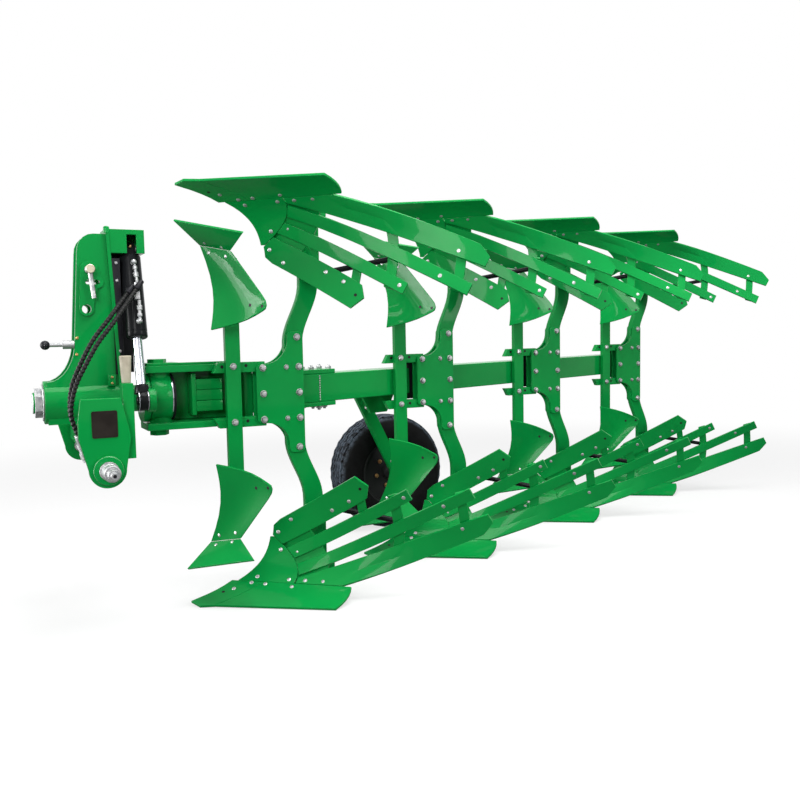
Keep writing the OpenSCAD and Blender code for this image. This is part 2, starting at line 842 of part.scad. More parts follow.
module head_box()
    color(deep_green)
        place()
            translate([0, 0, -fork_z])
                linear_extrude(2 * fork_z)
                    difference() {
                        polygon([[box_front, fork_shoulder_y], [head_rear, head_y(head_rear) + box_half_w],
                            [head_rear, head_y(head_rear) - box_half_w], [box_front, -fork_half_w
                                + web_t]]);
                        polygon([[box_front + over, fork_shoulder_y + over],
                            [head_rear + web_t + over, head_y(head_rear) + box_half_w + over],
                            [head_rear + web_t + over, head_y(head_rear) - box_half_w / 2],
                            [box_front + over, -fork_half_w + 2 * web_t]]);
                    }

module pivot_bolt()
    color(zinc)
        place()
            translate([pivot_x, 0, 0]) {
                translate([0, 0, -fork_z - fork_t - pivot_nut_h])
                    cylinder(h = 2 * (fork_z + fork_t + pivot_nut_h), r = pivot_r);
                both_ways()
                    translate([0, 0, fork_z + fork_t])
                        cylinder(h = pivot_nut_h, r = pivot_nut_r, $fn = hex_fn);
            }

lug_front = cyl_x - max(eye_t / 2, rod_r) - 2 * seat;
lug_rear = lug_front - lug_t;
module rear_hub()
    color(blue_green)
        place()
            difference() {
                union() {
                    bar_x(lug_rear - rear_hub_l, lug_rear, rear_hub_r);
                    translate([pivot_x, 0, -fork_z])
                        cylinder(h = 2 * fork_z, r = eye_post_r);
                }
                translate([pivot_x, 0, -fork_z - over])
                    cylinder(h = 2 * (fork_z + over), r = pivot_r + seat);
                translate([lug_rear, -axis_h, -axis_h])
                    cube([over, 2 * axis_h, 2 * axis_h]);
            }

module lug()
    color(blue_green)
        place()
            difference() {
                translate([lug_rear, 0, 0])
                    rotate([90, 0, 90])
                        linear_extrude(lug_t)
                            difference() {
                                union() {
                                    circle(lug_ring_r);
                                    translate([lug_reach, 0])
                                        circle(lug_end_r);
                                    translate([0, -lug_end_r])
                                        square([lug_reach, 2 * lug_end_r]);
                                }
                                circle(axle_r + seat);
                                translate([lug_reach, 0])
                                    circle(eye_pin_r + seat);
                            }
            }

axle_end = hub_front + washer_t;
module axle()
    color(zinc)
        place() {
            bar_x(lug_rear, axle_end, axle_r);
            bar_x(axle_end, axle_end + nut_l + thread_out, thread_r);
        }

module axle_nut()
    color(zinc)
        place()
            difference() {
                union() {
                    bar_x(hub_front, axle_end, washer_r);
                    translate([axle_end, 0, 0])
                        rotate([0, 90, 0])
                            cylinder(h = nut_l, r = nut_r, $fn = hex_fn);
                }
                bar_x(hub_front - over, axle_end, axle_r + seat);
                bar_x(axle_end - over, axle_end + nut_l + over, thread_r + seat);
            }

module hub_tube()
    color(blue_green)
        place()
            difference() {
                bar_x(hub_rear, hub_front, hub_r);
                bar_x(hub_rear - over, hub_front + over, axle_r + run_gap);
            }

mast_low_z = -hub_r;
function mast_rear(z) = mast_rear_low + (mast_rear_top - mast_rear_low) * z / mast_z;
flare_steps = 8;
quarter_turn = 90;
corner_steps = 5;
module mast_shape()
    polygon(concat([[mast_rear(mast_low_z), mast_low_z], [mast_foot_x, mast_low_z], [mast_foot_x,
        mast_foot_z]],
        [for (i = [1:flare_steps]) let (t = quarter_turn * i / flare_steps)
            [mast_foot_x - (mast_foot_x - mast_front_low) * sin(t),
            mast_flare_z - (mast_flare_z - mast_foot_z) * cos(t)]],
        [for (i = [0:corner_steps]) let (t = quarter_turn * i / corner_steps)
            [mast_top_x + (mast_front_top - mast_top_x) * cos(t),
            mast_corner_z + (mast_z - mast_corner_z) * sin(t)]],
        [[mast_rear_top, mast_z]]));

// link slot between the two top link holes
slot_x = [-37, -4];
slot_z = 430;
slot_half = 8;
module link_slot() {
    translate([slot_x[0], slot_z - slot_half])
        square([slot_x[1] - slot_x[0], 2 * slot_half]);
    for (x = slot_x)
        translate([x, slot_z])
            circle(slot_half);
}
module link_holes() {
    translate([top_pin_x, top_pin_z])
        circle(top_pin_r + seat);
    translate([low_hole_x, low_hole_z])
        circle(top_pin_r + seat);
    link_slot();
}

module mast_plates()
    color(blue_green)
        place()
            difference() {
                both_sides()
                    plate_xz(mast_y - mast_t, mast_y)
                        difference() {
                            mast_shape();
                            link_holes();
                        }
                bar_x(hub_rear - over, hub_front + over, hub_r);
            }

doubler_top_r = 30;
doubler_side_r = 21;
doubler_low_r = 25;
doubler_neck = [-3, 30];
module doubler_shape() {
    translate([top_pin_x, top_pin_z])
        circle(doubler_top_r);
    translate([slot_x[0], slot_z])
        circle(doubler_side_r);
    translate([low_hole_x, low_hole_z])
        circle(doubler_low_r);
    polygon([[top_pin_x + doubler_top_r, top_pin_z], [low_hole_x + doubler_low_r, low_hole_z],
        [low_hole_x - doubler_low_r, low_hole_z],
        [low_hole_x - doubler_low_r, low_hole_z] + doubler_neck,
        [slot_x[0], slot_z - doubler_side_r], [slot_x[0] - doubler_side_r, slot_z],
        [top_pin_x - doubler_top_r, top_pin_z + slot_half]]);
}
module mast_doublers()
    color(blue_green)
        place()
            both_sides()
                plate_xz(mast_y, mast_y + doubler_t)
                    difference() {
                        doubler_shape();
                        link_holes();
                    }

module rib_plate()
    color(blue_green)
        place()
            difference() {
                plate_xz(-rib_half_w, rib_half_w)
                    polygon([[mast_rear(mast_low_z), mast_low_z], [mast_rear(rib_z), rib_z],
                        [mast_rear(rib_z) - rib_t, rib_z], [mast_rear(mast_low_z) - rib_t, mast_low_z]]);
                bar_x(hub_rear - over, hub_front, hub_r);
                bar_x(hub_rear - over * 2, hub_front, axle_r + run_gap * over);
                translate([cyl_x - over, 0, cyl_top_z])
                    bar_x(0, hub_front, eye_pin_r + seat);
            }

module cylinder_bracket()
    color(blue_green)
        place()
            difference() {
                union() {
                    translate([0, 0, 0])
                        both_sides()
                            plate_xz(bracket_half_w, bracket_half_w + bracket_t)
                                difference() {
                                    polygon([[mast_rear(bracket_low_z) - rib_t, bracket_low_z],
                                        [mast_rear(rib_z) - rib_t, rib_z], [bracket_rear, rib_z],
                                        [bracket_rear, bracket_low_z]]);
                                    translate([cyl_x - window_w / 2, bracket_low_z - over])
                                        square([window_w, rib_z - bracket_low_z - window_low + over]);
                                }
                    plate_xz(-bracket_half_w - bracket_t, bracket_half_w + bracket_t)
                        polygon([[mast_rear(rib_z) - rib_t, rib_z], [bracket_rear, rib_z],
                            [bracket_rear, rib_z - bracket_t], [mast_rear(rib_z - bracket_t) - rib_t,
                                rib_z - bracket_t]]);
                    plate_xz(-bracket_half_w - bracket_t, bracket_half_w + bracket_t)
                        translate([bracket_rear, bracket_low_z])
                            square([bracket_t, rib_z - bracket_low_z]);
                }
                translate([bracket_rear - over, 0, cyl_top_z])
                    bar_x(0, bracket_t + 2 * over, eye_pin_r + seat);
            }
window_w = 34;
window_low = 18;

pin_cap = 8;
module cylinder_pin()
    color(zinc)
        place()
            translate([0, 0, cyl_top_z])
                bar_x(bracket_rear - pin_cap, mast_rear(cyl_top_z) - rib_t / 2, eye_pin_r);

module cross_tube()
    color(blue_green)
        place()
            translate([cross_rear, -hitch_inner, -hub_r - cross_w])
                cube([cross_w, 2 * hitch_inner, cross_w]);
hitch_face = hitch_span / 2 - hitch_collar_t;
hitch_inner = hitch_face - hitch_t;

hitch_top_z = 31;
hitch_front_x = 88;
hitch_front_z = -40;
hitch_rear_x = -78;
hitch_rear_z = -100;
hitch_nose_x = 77;
hitch_tail_x = -50;
module hitch_plates()
    color(blue_green)
        place()
            both_sides()
                plate_xz(hitch_inner, hitch_face)
                    difference() {
                        union() {
                            polygon([[hitch_nose_x, hitch_top_z], [hitch_tail_x, hitch_top_z],
                                [hitch_rear_x, hitch_rear_z], [-hitch_foot_r, -hitch_drop],
                                [hitch_foot_r, -hitch_drop], [hitch_front_x, hitch_rear_z],
                                [hitch_front_x, hitch_front_z]]);
                            translate([0, -hitch_drop])
                                circle(hitch_foot_r);
                        }
                        translate([0, -hitch_drop])
                            circle(hitch_pin_r + seat);
                    }

pin_nub_l = 14;
pin_nub_r = 12;
module lower_link_pins()
    color(zinc)
        place()
            both_sides()
                translate([0, 0, -hitch_drop]) {
                    y_end = hitch_span / 2 + hitch_pin_l;
                    bar_y(hitch_inner, y_end, hitch_pin_r);
                    bar_y(hitch_face, hitch_face + hitch_boss_t, hitch_boss_r);
                    bar_y(hitch_face, hitch_span / 2, hitch_collar_r);
                    bar_y(y_end, y_end + pin_step_l, pin_step_r);
                    bar_y(y_end, y_end + pin_step_l + pin_nub_l, pin_nub_r);
                }

post_side_gap = 4;
module stop_posts()
    color(blue_green)
        place()
            both_sides()
                translate([cross_rear - post_d, hitch_inner - post_w - post_side_gap, -hub_r - cross_w])
                    cube([post_d, post_w, post_z + hub_r + cross_w]);

module buffer_block()
    color(cream)
        place()
            translate([cross_rear - post_d / 2, hitch_inner - post_w / 2 - post_side_gap, post_z])
                cylinder(h = buffer_h, r1 = buffer_r, r2 = buffer_top_r);

handle_lean = 6;
module top_link_pin()
    color(zinc)
        place()
            translate([top_pin_x, 0, top_pin_z]) {
                bar_y(-mast_y - doubler_t - top_pin_out, mast_y + doubler_t + top_pin_out, top_pin_r);
                translate([0, mast_y + doubler_t + top_pin_out - 2 * handle_r, 0])
                    rotate([0, 180 + handle_lean, 0])
                        cylinder(h = handle_l, r = handle_r);
            }

lock_sleeve_share = 0.4;
module lock_plunger()
    color(black)
        place()
            translate([mast_front(lock_z - lock_sleeve_r) + seat, mast_y - mast_t / 2, lock_z]) {
                bar_x(0, lock_l * lock_sleeve_share, lock_sleeve_r);
                bar_x(0, lock_l, lock_rod_r);
                translate([lock_l, 0, 0])
                    sphere(lock_knob_r);
            }
function mast_front(z) = mast_front_low + (mast_flare_z - z) * flare_share;
flare_share = 0.08;

lean = atan2(lug_reach, cyl_top_z);
cyl_l = norm([lug_reach, cyl_top_z]);
module along_cylinder()
    translate([cyl_x, 0, cyl_top_z])
        rotate([lean, 0, 0])
            mirror([0, 0, 1])
                children();

module cylinder_barrel()
    color(black)
        place()
            along_cylinder()
                difference() {
                    union() {
                        translate([0, 0, barrel_from])
                            cylinder(h = barrel_to - barrel_from, r = barrel_r);
                        translate([0, 0, barrel_to - gland_l])
                            cylinder(h = gland_l, r = gland_r);
                        translate([-eye_t / 2, -top_eye_r, 0])
                            cube([eye_t, 2 * top_eye_r, barrel_from]);
                        bar_x(-eye_t / 2, eye_t / 2, top_eye_r);
                    }
                    bar_x(-eye_t, eye_t, eye_pin_r + run_gap);
                    translate([0, 0, barrel_bore_from])
                        cylinder(h = barrel_to, r = rod_r + run_gap);
                }
barrel_bore_from = 48;

port_half = 17;
fitting_r = 10;
port_stem = 20;
stem_r = 12;
module port_block()
    color(zinc)
        place() {
            along_cylinder()
                difference() {
                    translate([-port_half, 0, port_from])
                        cube([2 * port_half, barrel_r + port_t, port_l]);
                    cylinder(h = barrel_to, r = barrel_r + seat);
                }
            for (k = [0, 1]) {
                p = hose_port(k);
                translate([p[0], 0, p[2]])
                    bar_y(p[1] - port_stem, p[1] + stem_r / 2, stem_r);
                link(p, hose_from(k) - seat * hose_lead(k), fitting_r);
            }
        }

module cylinder_rod()
    color(chrome)
        place()
            along_cylinder()
                difference() {
                    union() {
                        translate([0, 0, barrel_to - rod_inside])
                            cylinder(h = cyl_l - barrel_to + rod_inside, r = rod_r);
                        translate([0, 0, cyl_l])
                            bar_x(-eye_t / 2, eye_t / 2, rod_eye_r);
                    }
                    translate([0, 0, cyl_l])
                        bar_x(-eye_t, eye_t, eye_pin_r + run_gap);
                }

// hose routes from the cylinder ports down behind the near hitch plate, set out from the run beside it
hose_inset = 94.5;
hose_run = [0, hitch_inner - hose_inset, 0];
hose_marks = [[-52, -75, 296], [10, -35, 222], [59, -12, 137], [90, -2, 62], [97, 0, -24], [78, -2, -96]];
hose_apart = [[-17, 11, -8], [-16, 12.5, -8], [-14, 15.5, -4], [-9, 19, 0], [0, 21.5, 0], [0, 21.5, 0]];
port_out = [[14, 98, 408], [-18, 96, 424]];
fitting_l = 34;
hose_steps = 24;
hose_sides = 8;
hose_side = [0.8, 0, 0.6];
hose_probe = 0.001;
function hose_mark(k, i) = hose_run + hose_marks[i] + k * hose_apart[i];
function hose_port(k) = [cyl_x, 0, 0] + port_out[k];
function hose_lead(k) = let (d = hose_mark(k, 0) - hose_port(k)) d / norm(d);
function hose_from(k) = hose_port(k) + fitting_l * hose_lead(k);
function hose_route(k) = concat([hose_from(k)], [for (i = [0:len(hose_marks) - 1]) hose_mark(k, i)]);
function on_route(p, i) = i < 0 ? 2 * p[0] - p[1] : i < len(p) ? p[i] : 2 * p[i - 1] - p[i - 2];
function spline(a, b, c, d, t) = b + (c - a) * t / 2 + (2 * a - 5 * b + 4 * c - d) * t * t / 2
    + (3 * b - a - 3 * c + d) * t * t * t / 2;
function hose_mid(k, t) = let (p = hose_route(k), n = len(p) - 1, i = min(floor(t * n), n - 1))
    spline(on_route(p, i - 1), p[i], p[i + 1], on_route(p, i + 2), t * n - i);
function hose_dir(k, t) = let (d = hose_mid(k, min(t + hose_probe, 1)) - hose_mid(k,
    max(t - hose_probe, 0)))
    d / norm(d);
module hose(k) {
    rings = [for (i = [0:hose_steps]) let (t = i / hose_steps, c = hose_mid(k, t), d = hose_dir(k, t),
        a = cross(d, hose_side) / norm(cross(d, hose_side)), b = cross(d, a))
        for (j = [0:hose_sides - 1]) c + hose_r * (cos(360 * j / hose_sides) * a
            + sin(360 * j / hose_sides) * b)];
    n = hose_sides;
    polyhedron(rings, concat(
        [[for (j = [0:n - 1]) j]],
        [[for (j = [n - 1:-1:0]) hose_steps * n + j]],
        [for (i = [0:hose_steps - 1]) for (j = [0:n - 1]) let (a = i * n + j, b = i * n + (j + 1) % n)
            [a, a + n, b + n]],
        [for (i = [0:hose_steps - 1]) for (j = [0:n - 1]) let (a = i * n + j, b = i * n + (j + 1) % n)
            [a, b + n, b]]));
}
module hose_front() color(black) place() hose(0);
module hose_rear() color(black) place() hose(1);

crimp_share = 0.3;
crimp_r = 12;
coupler_r = 15;
module hose_couplers()
    color(zinc)
        place()
            for (k = [0, 1]) {
                p = hose_mid(k, 1) + seat * hose_dir(k, 1);
                link(p, p + coupler_l * hose_dir(k, 1), crimp_r);
                link(p + coupler_l * crimp_share * hose_dir(k, 1), p + coupler_l * hose_dir(k, 1),
                    coupler_r);
            }

arm_far_y = head_y(arm_pivot_x) - box_half_w;
arm_side_gap = 24;
arm_near = wheel_y + tyre_half_w + arm_side_gap;
bracket_plate_half = 110;
bracket_plate_h = 150;
bracket_plate_t = 16;
module wheel_bracket()
    color(deep_green)
        place() {
            translate([arm_pivot_x, 0, 0])
                difference() {
                    bar_y(arm_near + wheel_arm_t + seat, arm_far_y - pivot_tube_r * beam_slope - seat,
                        pivot_tube_r);
                    bar_y(arm_near - over, arm_far_y - bracket_plate_t * 2, pivot_shaft_r + run_gap);
                }
            translate([first_x, first_y + beam_mid_y, 0])
                rotate([0, 0, beam_angle])
                    translate([(arm_pivot_x - first_x) / cos(beam_angle) + bracket_shift,
                        -beam_w / 2 - bracket_plate_t, 0])
                        rotate([90, 0, 0])
                            mirror([0, 0, 1])
                                linear_extrude(bracket_plate_t)
                                    polygon([[-bracket_plate_half, beam_w / 2], [bracket_plate_half,
                                        beam_w / 2],
                                        [bracket_plate_half, -beam_w / 2], [bracket_plate_half / 2,
                                            -bracket_plate_h],
                                        [-bracket_plate_half / 2, -bracket_plate_h],
                                            [-bracket_plate_half, -beam_w / 2]]);
        }
bracket_shift = -30;

wheel_z = tyre_r - axis_h;
module wheel_arm()
    color(deep_green)
        place() {
            translate([arm_pivot_x, arm_near, 0])
                rotate([0, atan2(arm_pivot_x - wheel_x, -wheel_z), 0])
                    translate([0, 0, -arm_len]) {
                        translate([-wheel_arm_w / 2, 0, 0])
                            cube([wheel_arm_w, wheel_arm_t, arm_len]);
                        bar_y(0, wheel_arm_t, wheel_arm_w / 2);
                        translate([0, 0, arm_len])
                            bar_y(0, wheel_arm_t, wheel_arm_w / 2 + arm_boss);
                    }
            translate([arm_pivot_x, 0, 0])
                bar_y(arm_near, arm_far_y - bracket_plate_t * 2 - seat, pivot_shaft_r);
            translate([wheel_x, 0, wheel_z])
                bar_y(wheel_y - spindle_over, arm_near + wheel_arm_t, spindle_r);
        }
arm_len = norm([arm_pivot_x - wheel_x, wheel_z]);
arm_boss = 10;
spindle_over = 60;

disc_t = 10;
disc_out = 20;
hub_half = 55;
rim_wall = 8;
module wheel_rim()
    color(black)
        place()
            translate([wheel_x, wheel_y, wheel_z])
                difference() {
                    union() {
                        difference() {
                            bar_y(-tyre_half_w * rim_share, tyre_half_w * rim_share, bead_r);
                            bar_y(-tyre_half_w, tyre_half_w, bead_r - rim_wall);
                        }
                        bar_y(disc_out, disc_out + disc_t, bead_r - rim_wall / 2);
                        bar_y(-hub_half, hub_half, wheel_hub_r);
                    }
                    bar_y(-tyre_half_w - over, tyre_half_w + over, spindle_r + run_gap);
                }
rim_share = 0.8;

tyre_shoulder = 40;
module wheel_tyre()
    color(black)
        place()
            translate([wheel_x, wheel_y, wheel_z])
                rotate([90, 0, 0])
                    rotate_extrude()
                        difference() {
                            union() {
                                translate([bead_r + seat, -tyre_half_w * rim_share])
                                    square([tyre_r - tyre_shoulder - bead_r, 2 * tyre_half_w * rim_share]);
                                translate([bead_r + tyre_shoulder, -tyre_half_w])
                                    square([tyre_r - 2 * tyre_shoulder - bead_r, 2 * tyre_half_w]);
                                translate([bead_r + tyre_shoulder, -tyre_half_w + tyre_shoulder])
                                    square([tyre_r - tyre_shoulder - bead_r,
                                        2 * (tyre_half_w - tyre_shoulder)]);
                                for (m = [-1, 1])
                                    translate([tyre_r - tyre_shoulder, m * (tyre_half_w - tyre_shoulder)])
                                        circle(tyre_shoulder);
                            }
                        }

hub_tube();
mast_plates();
mast_doublers();
rib_plate();
cylinder_bracket();
cylinder_pin();
cross_tube();
hitch_plates();
lower_link_pins();
stop_posts();
buffer_block();
top_link_pin();
lock_plunger();
hose_front();
hose_rear();
hose_couplers();
cylinder_barrel();
port_block();
cylinder_rod();
axle();
axle_nut();
lug();
rear_hub();
fork_plates();
pivot_bolt();
head_box();
beam();
strap_plates();
leg_brackets();
leg_plates();
legs();
frogs();
points();
shares();
shins();
slats_first();
slats_second();
slats_third();
slats_fourth();
carriers();
cross_bars();
stays();
landsides();
skimmer_arms();
skimmer_shanks();
skimmer_boards();
skimmer_shares();
wheel_bracket();
wheel_arm();
wheel_rim();
wheel_tyre();
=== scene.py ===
"""Four-furrow reversible plough, dressed over its CAD frame."""

from __future__ import annotations

import logging
import math
from contextlib import contextmanager
from dataclasses import dataclass
from enum import Enum
from functools import partial
from typing import Any, Callable, Iterator, Sequence

import bpy
from mathutils import Matrix, Vector


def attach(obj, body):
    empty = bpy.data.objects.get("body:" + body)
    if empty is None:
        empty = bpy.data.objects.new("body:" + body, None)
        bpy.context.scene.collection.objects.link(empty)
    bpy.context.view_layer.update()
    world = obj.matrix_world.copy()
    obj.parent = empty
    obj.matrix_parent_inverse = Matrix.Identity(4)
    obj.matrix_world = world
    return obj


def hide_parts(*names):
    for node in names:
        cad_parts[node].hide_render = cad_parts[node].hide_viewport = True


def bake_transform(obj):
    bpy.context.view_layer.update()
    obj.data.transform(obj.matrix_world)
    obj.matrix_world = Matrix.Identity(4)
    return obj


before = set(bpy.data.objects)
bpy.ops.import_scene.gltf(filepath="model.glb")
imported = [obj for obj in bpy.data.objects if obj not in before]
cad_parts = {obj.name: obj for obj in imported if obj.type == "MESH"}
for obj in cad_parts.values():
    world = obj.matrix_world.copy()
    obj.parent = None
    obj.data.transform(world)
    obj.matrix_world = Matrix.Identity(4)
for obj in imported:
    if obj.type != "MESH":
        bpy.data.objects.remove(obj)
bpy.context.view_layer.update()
log = logging.getLogger("plough")

MM = 0.001
AXIS = Vector((1.879177, 0.217948, 0.808))
BODY_PITCH = Vector((-874.55, -310.4, 0.0))
BODY_FIRST = Vector((-771.0, 128.0, 0.0))
BODIES = 4
WHEEL = (-1576.0, -752.0, -508.0)
HITCH_Z = -208.0
PAIRS = [(index, upper) for index in range(BODIES) for upper in (False, True)]
UP, DOWN, NEAR, FAR = (0.0, 0.0, 1.0), (0.0, 0.0, -1.0), (0.0, 1.0, 0.0), (0.0, -1.0, 0.0)
FORE = (1.0, 0.0, 0.0)

Colour = tuple[float, float, float]
Point = tuple[float, float, float]
Profile = tuple[tuple[float, float], ...]
Spots = tuple[tuple[float, float], ...]
Piece = bpy.types.Object


def at(x: float, y: float, z: float) -> Vector:
    """Return a point given in mm from the turnover axis, in metres of the frame."""
    return AXIS + Vector((x, y, z)) * MM


def station(index: int, x: float, y: float, z: float) -> Vector:
    """Return a point given in mm from one leg pair's own datum, in metres of the frame."""
    return AXIS + (BODY_FIRST + BODY_PITCH * index + Vector((x, y, z))) * MM


def on_pins(*reaches: float) -> tuple[Point, ...]:
    """Return points so many mm out along both lower link pins, from the turnover axis."""
    return tuple((0.0, side * y, HITCH_Z) for side in (1, -1) for y in reaches)


def aim(point: Vector, along: Sequence[float], spin: float = 0.0) -> Matrix:
    """Return the place of a piece modelled up +Z.

    Args:
        point: where its foot stands, in metres.
        along: the direction that it points in.
        spin: its turn about that direction, in degrees.

    Returns:
        The matrix that sets it there.
    """
    turn = Vector(along).to_track_quat("Z", "Y").to_matrix().to_4x4()
    return Matrix.Translation(point) @ turn @ Matrix.Rotation(math.radians(spin), 4, "Z")


class Ride(Enum):
    """The moving bodies that pieces ride on."""

    HEADSTOCK = "headstock"
    BARREL = "barrel"
    ROD = "rod"
    FRAME = "frame"
    ARM = "wheel_arm"
    WHEEL = "wheel"


class Wire:
    """A shader socket that takes part in Python arithmetic."""

    def __init__(self, graph: "Graph", socket: bpy.types.NodeSocket) -> None:
        """Keep the socket and the graph that it belongs to."""
        self.graph = graph
        self.socket = socket

    def _math(self, operation: str, first: Any, second: Any) -> "Wire":
        """Return a Math node's result on two values."""
        return self.graph.add("ShaderNodeMath", {"operation": operation}, {0: first, 1: second})

    def __add__(self, other: Any) -> "Wire":
        """Return self + other."""
        return self._math("ADD", self, other)

    def __sub__(self, other: Any) -> "Wire":
        """Return self - other."""
        return self._math("SUBTRACT", self, other)

    def __rsub__(self, other: Any) -> "Wire":
        """Return other - self."""
        return self._math("SUBTRACT", other, self)

    def __mul__(self, other: Any) -> "Wire":
        """Return self * other."""
        return self._math("MULTIPLY", self, other)

    __radd__ = __add__
    __rmul__ = __mul__

    def spread(self, low: float, high: float) -> "Wire":
        """Return the value eased from low..high onto 0..1."""
        sockets = {"Value": self, "From Min": low, "From Max": high, "To Min": 0.0, "To Max": 1.0}
        return self.graph.add("ShaderNodeMapRange", {"interpolation_type": "SMOOTHSTEP"}, sockets)


class Graph:
    """The node tree of a material or a world, built up wire by wire."""

    def __init__(self, owner: bpy.types.Material | bpy.types.World) -> None:
        """Empty the owner's node tree."""
        owner.use_nodes = True
        self.owner = owner
        self.tree = owner.node_tree
        self.tree.nodes.clear()

    @classmethod
    def of(cls, name: str) -> "Graph":
        """Start a new material of that name."""
        return cls(bpy.data.materials.new(name))

    def add(
        self, kind: str, settings: dict[str, Any] | None = None,
        sockets: dict[str | int, Any] | None = None, output: str | int = 0,
    ) -> Wire:
        """Add a node.

        Args:
            kind: Blender's name of the node type.
            settings: the node's own properties, set first.
            sockets: values or wires for its inputs.
            output: the output that is handed on.

        Returns:
            A wire on that output.
        """
        node = self.tree.nodes.new(kind)
        for key, value in (settings or {}).items():
            setattr(node, key, value)
        for key, value in (sockets or {}).items():
            if isinstance(value, Wire):
                self.tree.links.new(value.socket, node.inputs[key])
            else:
                node.inputs[key].default_value = value
        return Wire(self, node.outputs[output])

    def place(self) -> Wire:
        """Return the point on the piece, in metres."""
        return self.add("ShaderNodeTexCoord", output="Object")

    def noise(self, scale: float, detail: float = 3.0, rough: float = 0.5) -> Wire:
        """Return soft noise of so many waves a metre."""
        sockets = {"Vector": self.place(), "Scale": scale, "Detail": detail, "Roughness": rough}
        return self.add("ShaderNodeTexNoise", None, sockets)

    def tint(self, factor: Any, first: Any, second: Any) -> Wire:
        """Return a colour mixed from two by a factor."""
        sockets = {0: factor, 6: first, 7: second}
        return self.add("ShaderNodeMix", {"data_type": "RGBA"}, sockets, 2)

    def bump(self, height: Wire, depth: float, strength: float = 1.0) -> Wire:
        """Return a normal roughened by a height of so many metres."""
        sockets = {"Height": height, "Distance": depth, "Strength": strength}
        return self.add("ShaderNodeBump", None, sockets)

    def surface(self, **sockets: Any) -> bpy.types.Material:
        """Close the material with a principled surface.

        Args:
            sockets: its inputs, underscores standing for spaces.

        Returns:
            The finished material.
        """
        named = {key.replace("_", " "): value for key, value in sockets.items()}
        shader = self.add("ShaderNodeBsdfPrincipled", None, named)
        self.close(shader)
        return self.owner

    def close(self, shader: Wire, kind: str = "ShaderNodeOutputMaterial") -> None:
        """Lead a shader to the output node of that type."""
        node = self.tree.nodes.new(kind)
        self.tree.links.new(shader.socket, node.inputs["Surface"])


def opaque(colour: Colour) -> tuple[float, float, float, float]:
    """Return a colour with full alpha."""
    return (*colour, 1.0)


@dataclass(frozen=True)
class Enamel:
    """Sprayed gloss enamel with orange peel and a little shade drift."""

    name: str
    colour: Colour
    shade: Colour
    gloss: float = 0.36
    coat: float = 0.55
    coat_rough: float = 0.05
    coat_ior: float = 1.24
    gleam: float = 0.05

    def make(self) -> bpy.types.Material:
        """Return the material."""
        g = Graph.of(self.name)
        drift = g.noise(2.6, 4.0).spread(0.35, 0.65)
        film = g.noise(420.0, 1.0)
        dust = g.noise(38.0, 5.0, 0.6).spread(0.5, 0.78)
        colour = g.tint(drift * 0.75, opaque(self.colour), opaque(self.shade))
        return g.surface(
            Base_Color=colour,
            Roughness=self.gloss + dust * 0.10,
            Coat_Weight=self.coat * (1.0 - dust * 0.5),
            Coat_Roughness=self.coat_rough,
            Coat_IOR=self.coat_ior,
            Specular_IOR_Level=self.gleam,
            Normal=g.bump(film, 0.00006, 0.5),
        )


@dataclass(frozen=True)
class Metal:
    """Bare, plated or polished metal."""

    name: str
    colour: Colour
    shade: Colour
    rough: float
    cloud: float = 60.0

    def make(self) -> bpy.types.Material:
        """Return the material."""
        g = Graph.of(self.name)
        cloud = g.noise(self.cloud, 5.0, 0.6).spread(0.3, 0.7)
        grain = g.noise(900.0, 2.0)
        return g.surface(
            Base_Color=g.tint(cloud, opaque(self.colour), opaque(self.shade)),
            Metallic=1.0,
            Roughness=self.rough + cloud * (self.rough * 0.6),
            Normal=g.bump(grain, 0.00003, 0.6),
        )


@dataclass(frozen=True)
class Rubber:
    """Vulcanised rubber with a fine skin and a grey bloom."""

    name: str
    colour: Colour
    bloom: Colour
    rough: float = 0.62
    gleam: float = 0.16

    def tone(self, g: Graph, haze: Wire) -> Wire:
        """Return the colour, greyer where it is hazy."""
        return g.tint(haze, opaque(self.colour), opaque(self.bloom))

    def make(self) -> bpy.types.Material:
        """Return the material."""
        g = Graph.of(self.name)
        haze = g.noise(14.0, 5.0, 0.6).spread(0.38, 0.72)
        skin = g.noise(700.0, 3.0, 0.6)
        return g.surface(
            Base_Color=self.tone(g, haze),
            Roughness=self.rough + haze * 0.14,
            Specular_IOR_Level=self.gleam,
            Normal=g.bump(skin, 0.00012, 0.6),
        )


@dataclass(frozen=True)
class TyreRubber(Rubber):
    """Tyre rubber, dark on its walls and painted blue-grey where it runs, a painted sheen of light on the
    tread.
    """

    gleam: float = 0.08
    # Painted sheen: the blue-grey of the lit tread, put into its colour.
    tread_sheen: Colour = (0.085, 0.105, 0.135)
    run: tuple[float, float] = (0.268, 0.293)

    def tone(self, g: Graph, haze: Wire) -> Wire:
        """Return the colour, with a painted blue-grey sheen of light in patches from the first running
        radius to the second, in metres.
        """
        sheen_patches = g.noise(46.0, 5.0, 0.6).spread(0.34, 0.62)
        middle = at(*WHEEL)
        fore = g.add("ShaderNodeSeparateXYZ", None, {"Vector": g.place()}, "X") - middle.x
        rise = g.add("ShaderNodeSeparateXYZ", None, {"Vector": g.place()}, "Z") - middle.z
        tread_band = (fore * fore + rise * rise).spread(self.run[0] ** 2, self.run[1] ** 2)
        return g.tint(tread_band * sheen_patches, super().tone(g, haze), opaque(self.tread_sheen))


@dataclass(frozen=True)
class Plastic:
    """Moulded plastic with a fine texture."""

    name: str
    colour: Colour
    shade: Colour
    rough: float = 0.45
    gleam: float = 0.14

    def make(self) -> bpy.types.Material:
        """Return the material."""
        g = Graph.of(self.name)
        drift = g.noise(22.0, 4.0).spread(0.35, 0.7)
        skin = g.noise(1100.0, 2.0)
        return g.surface(
            Base_Color=g.tint(drift, opaque(self.colour), opaque(self.shade)),
            Roughness=self.rough + drift * 0.1,
            Specular_IOR_Level=self.gleam,
            Normal=g.bump(skin, 0.00005, 0.5),
        )


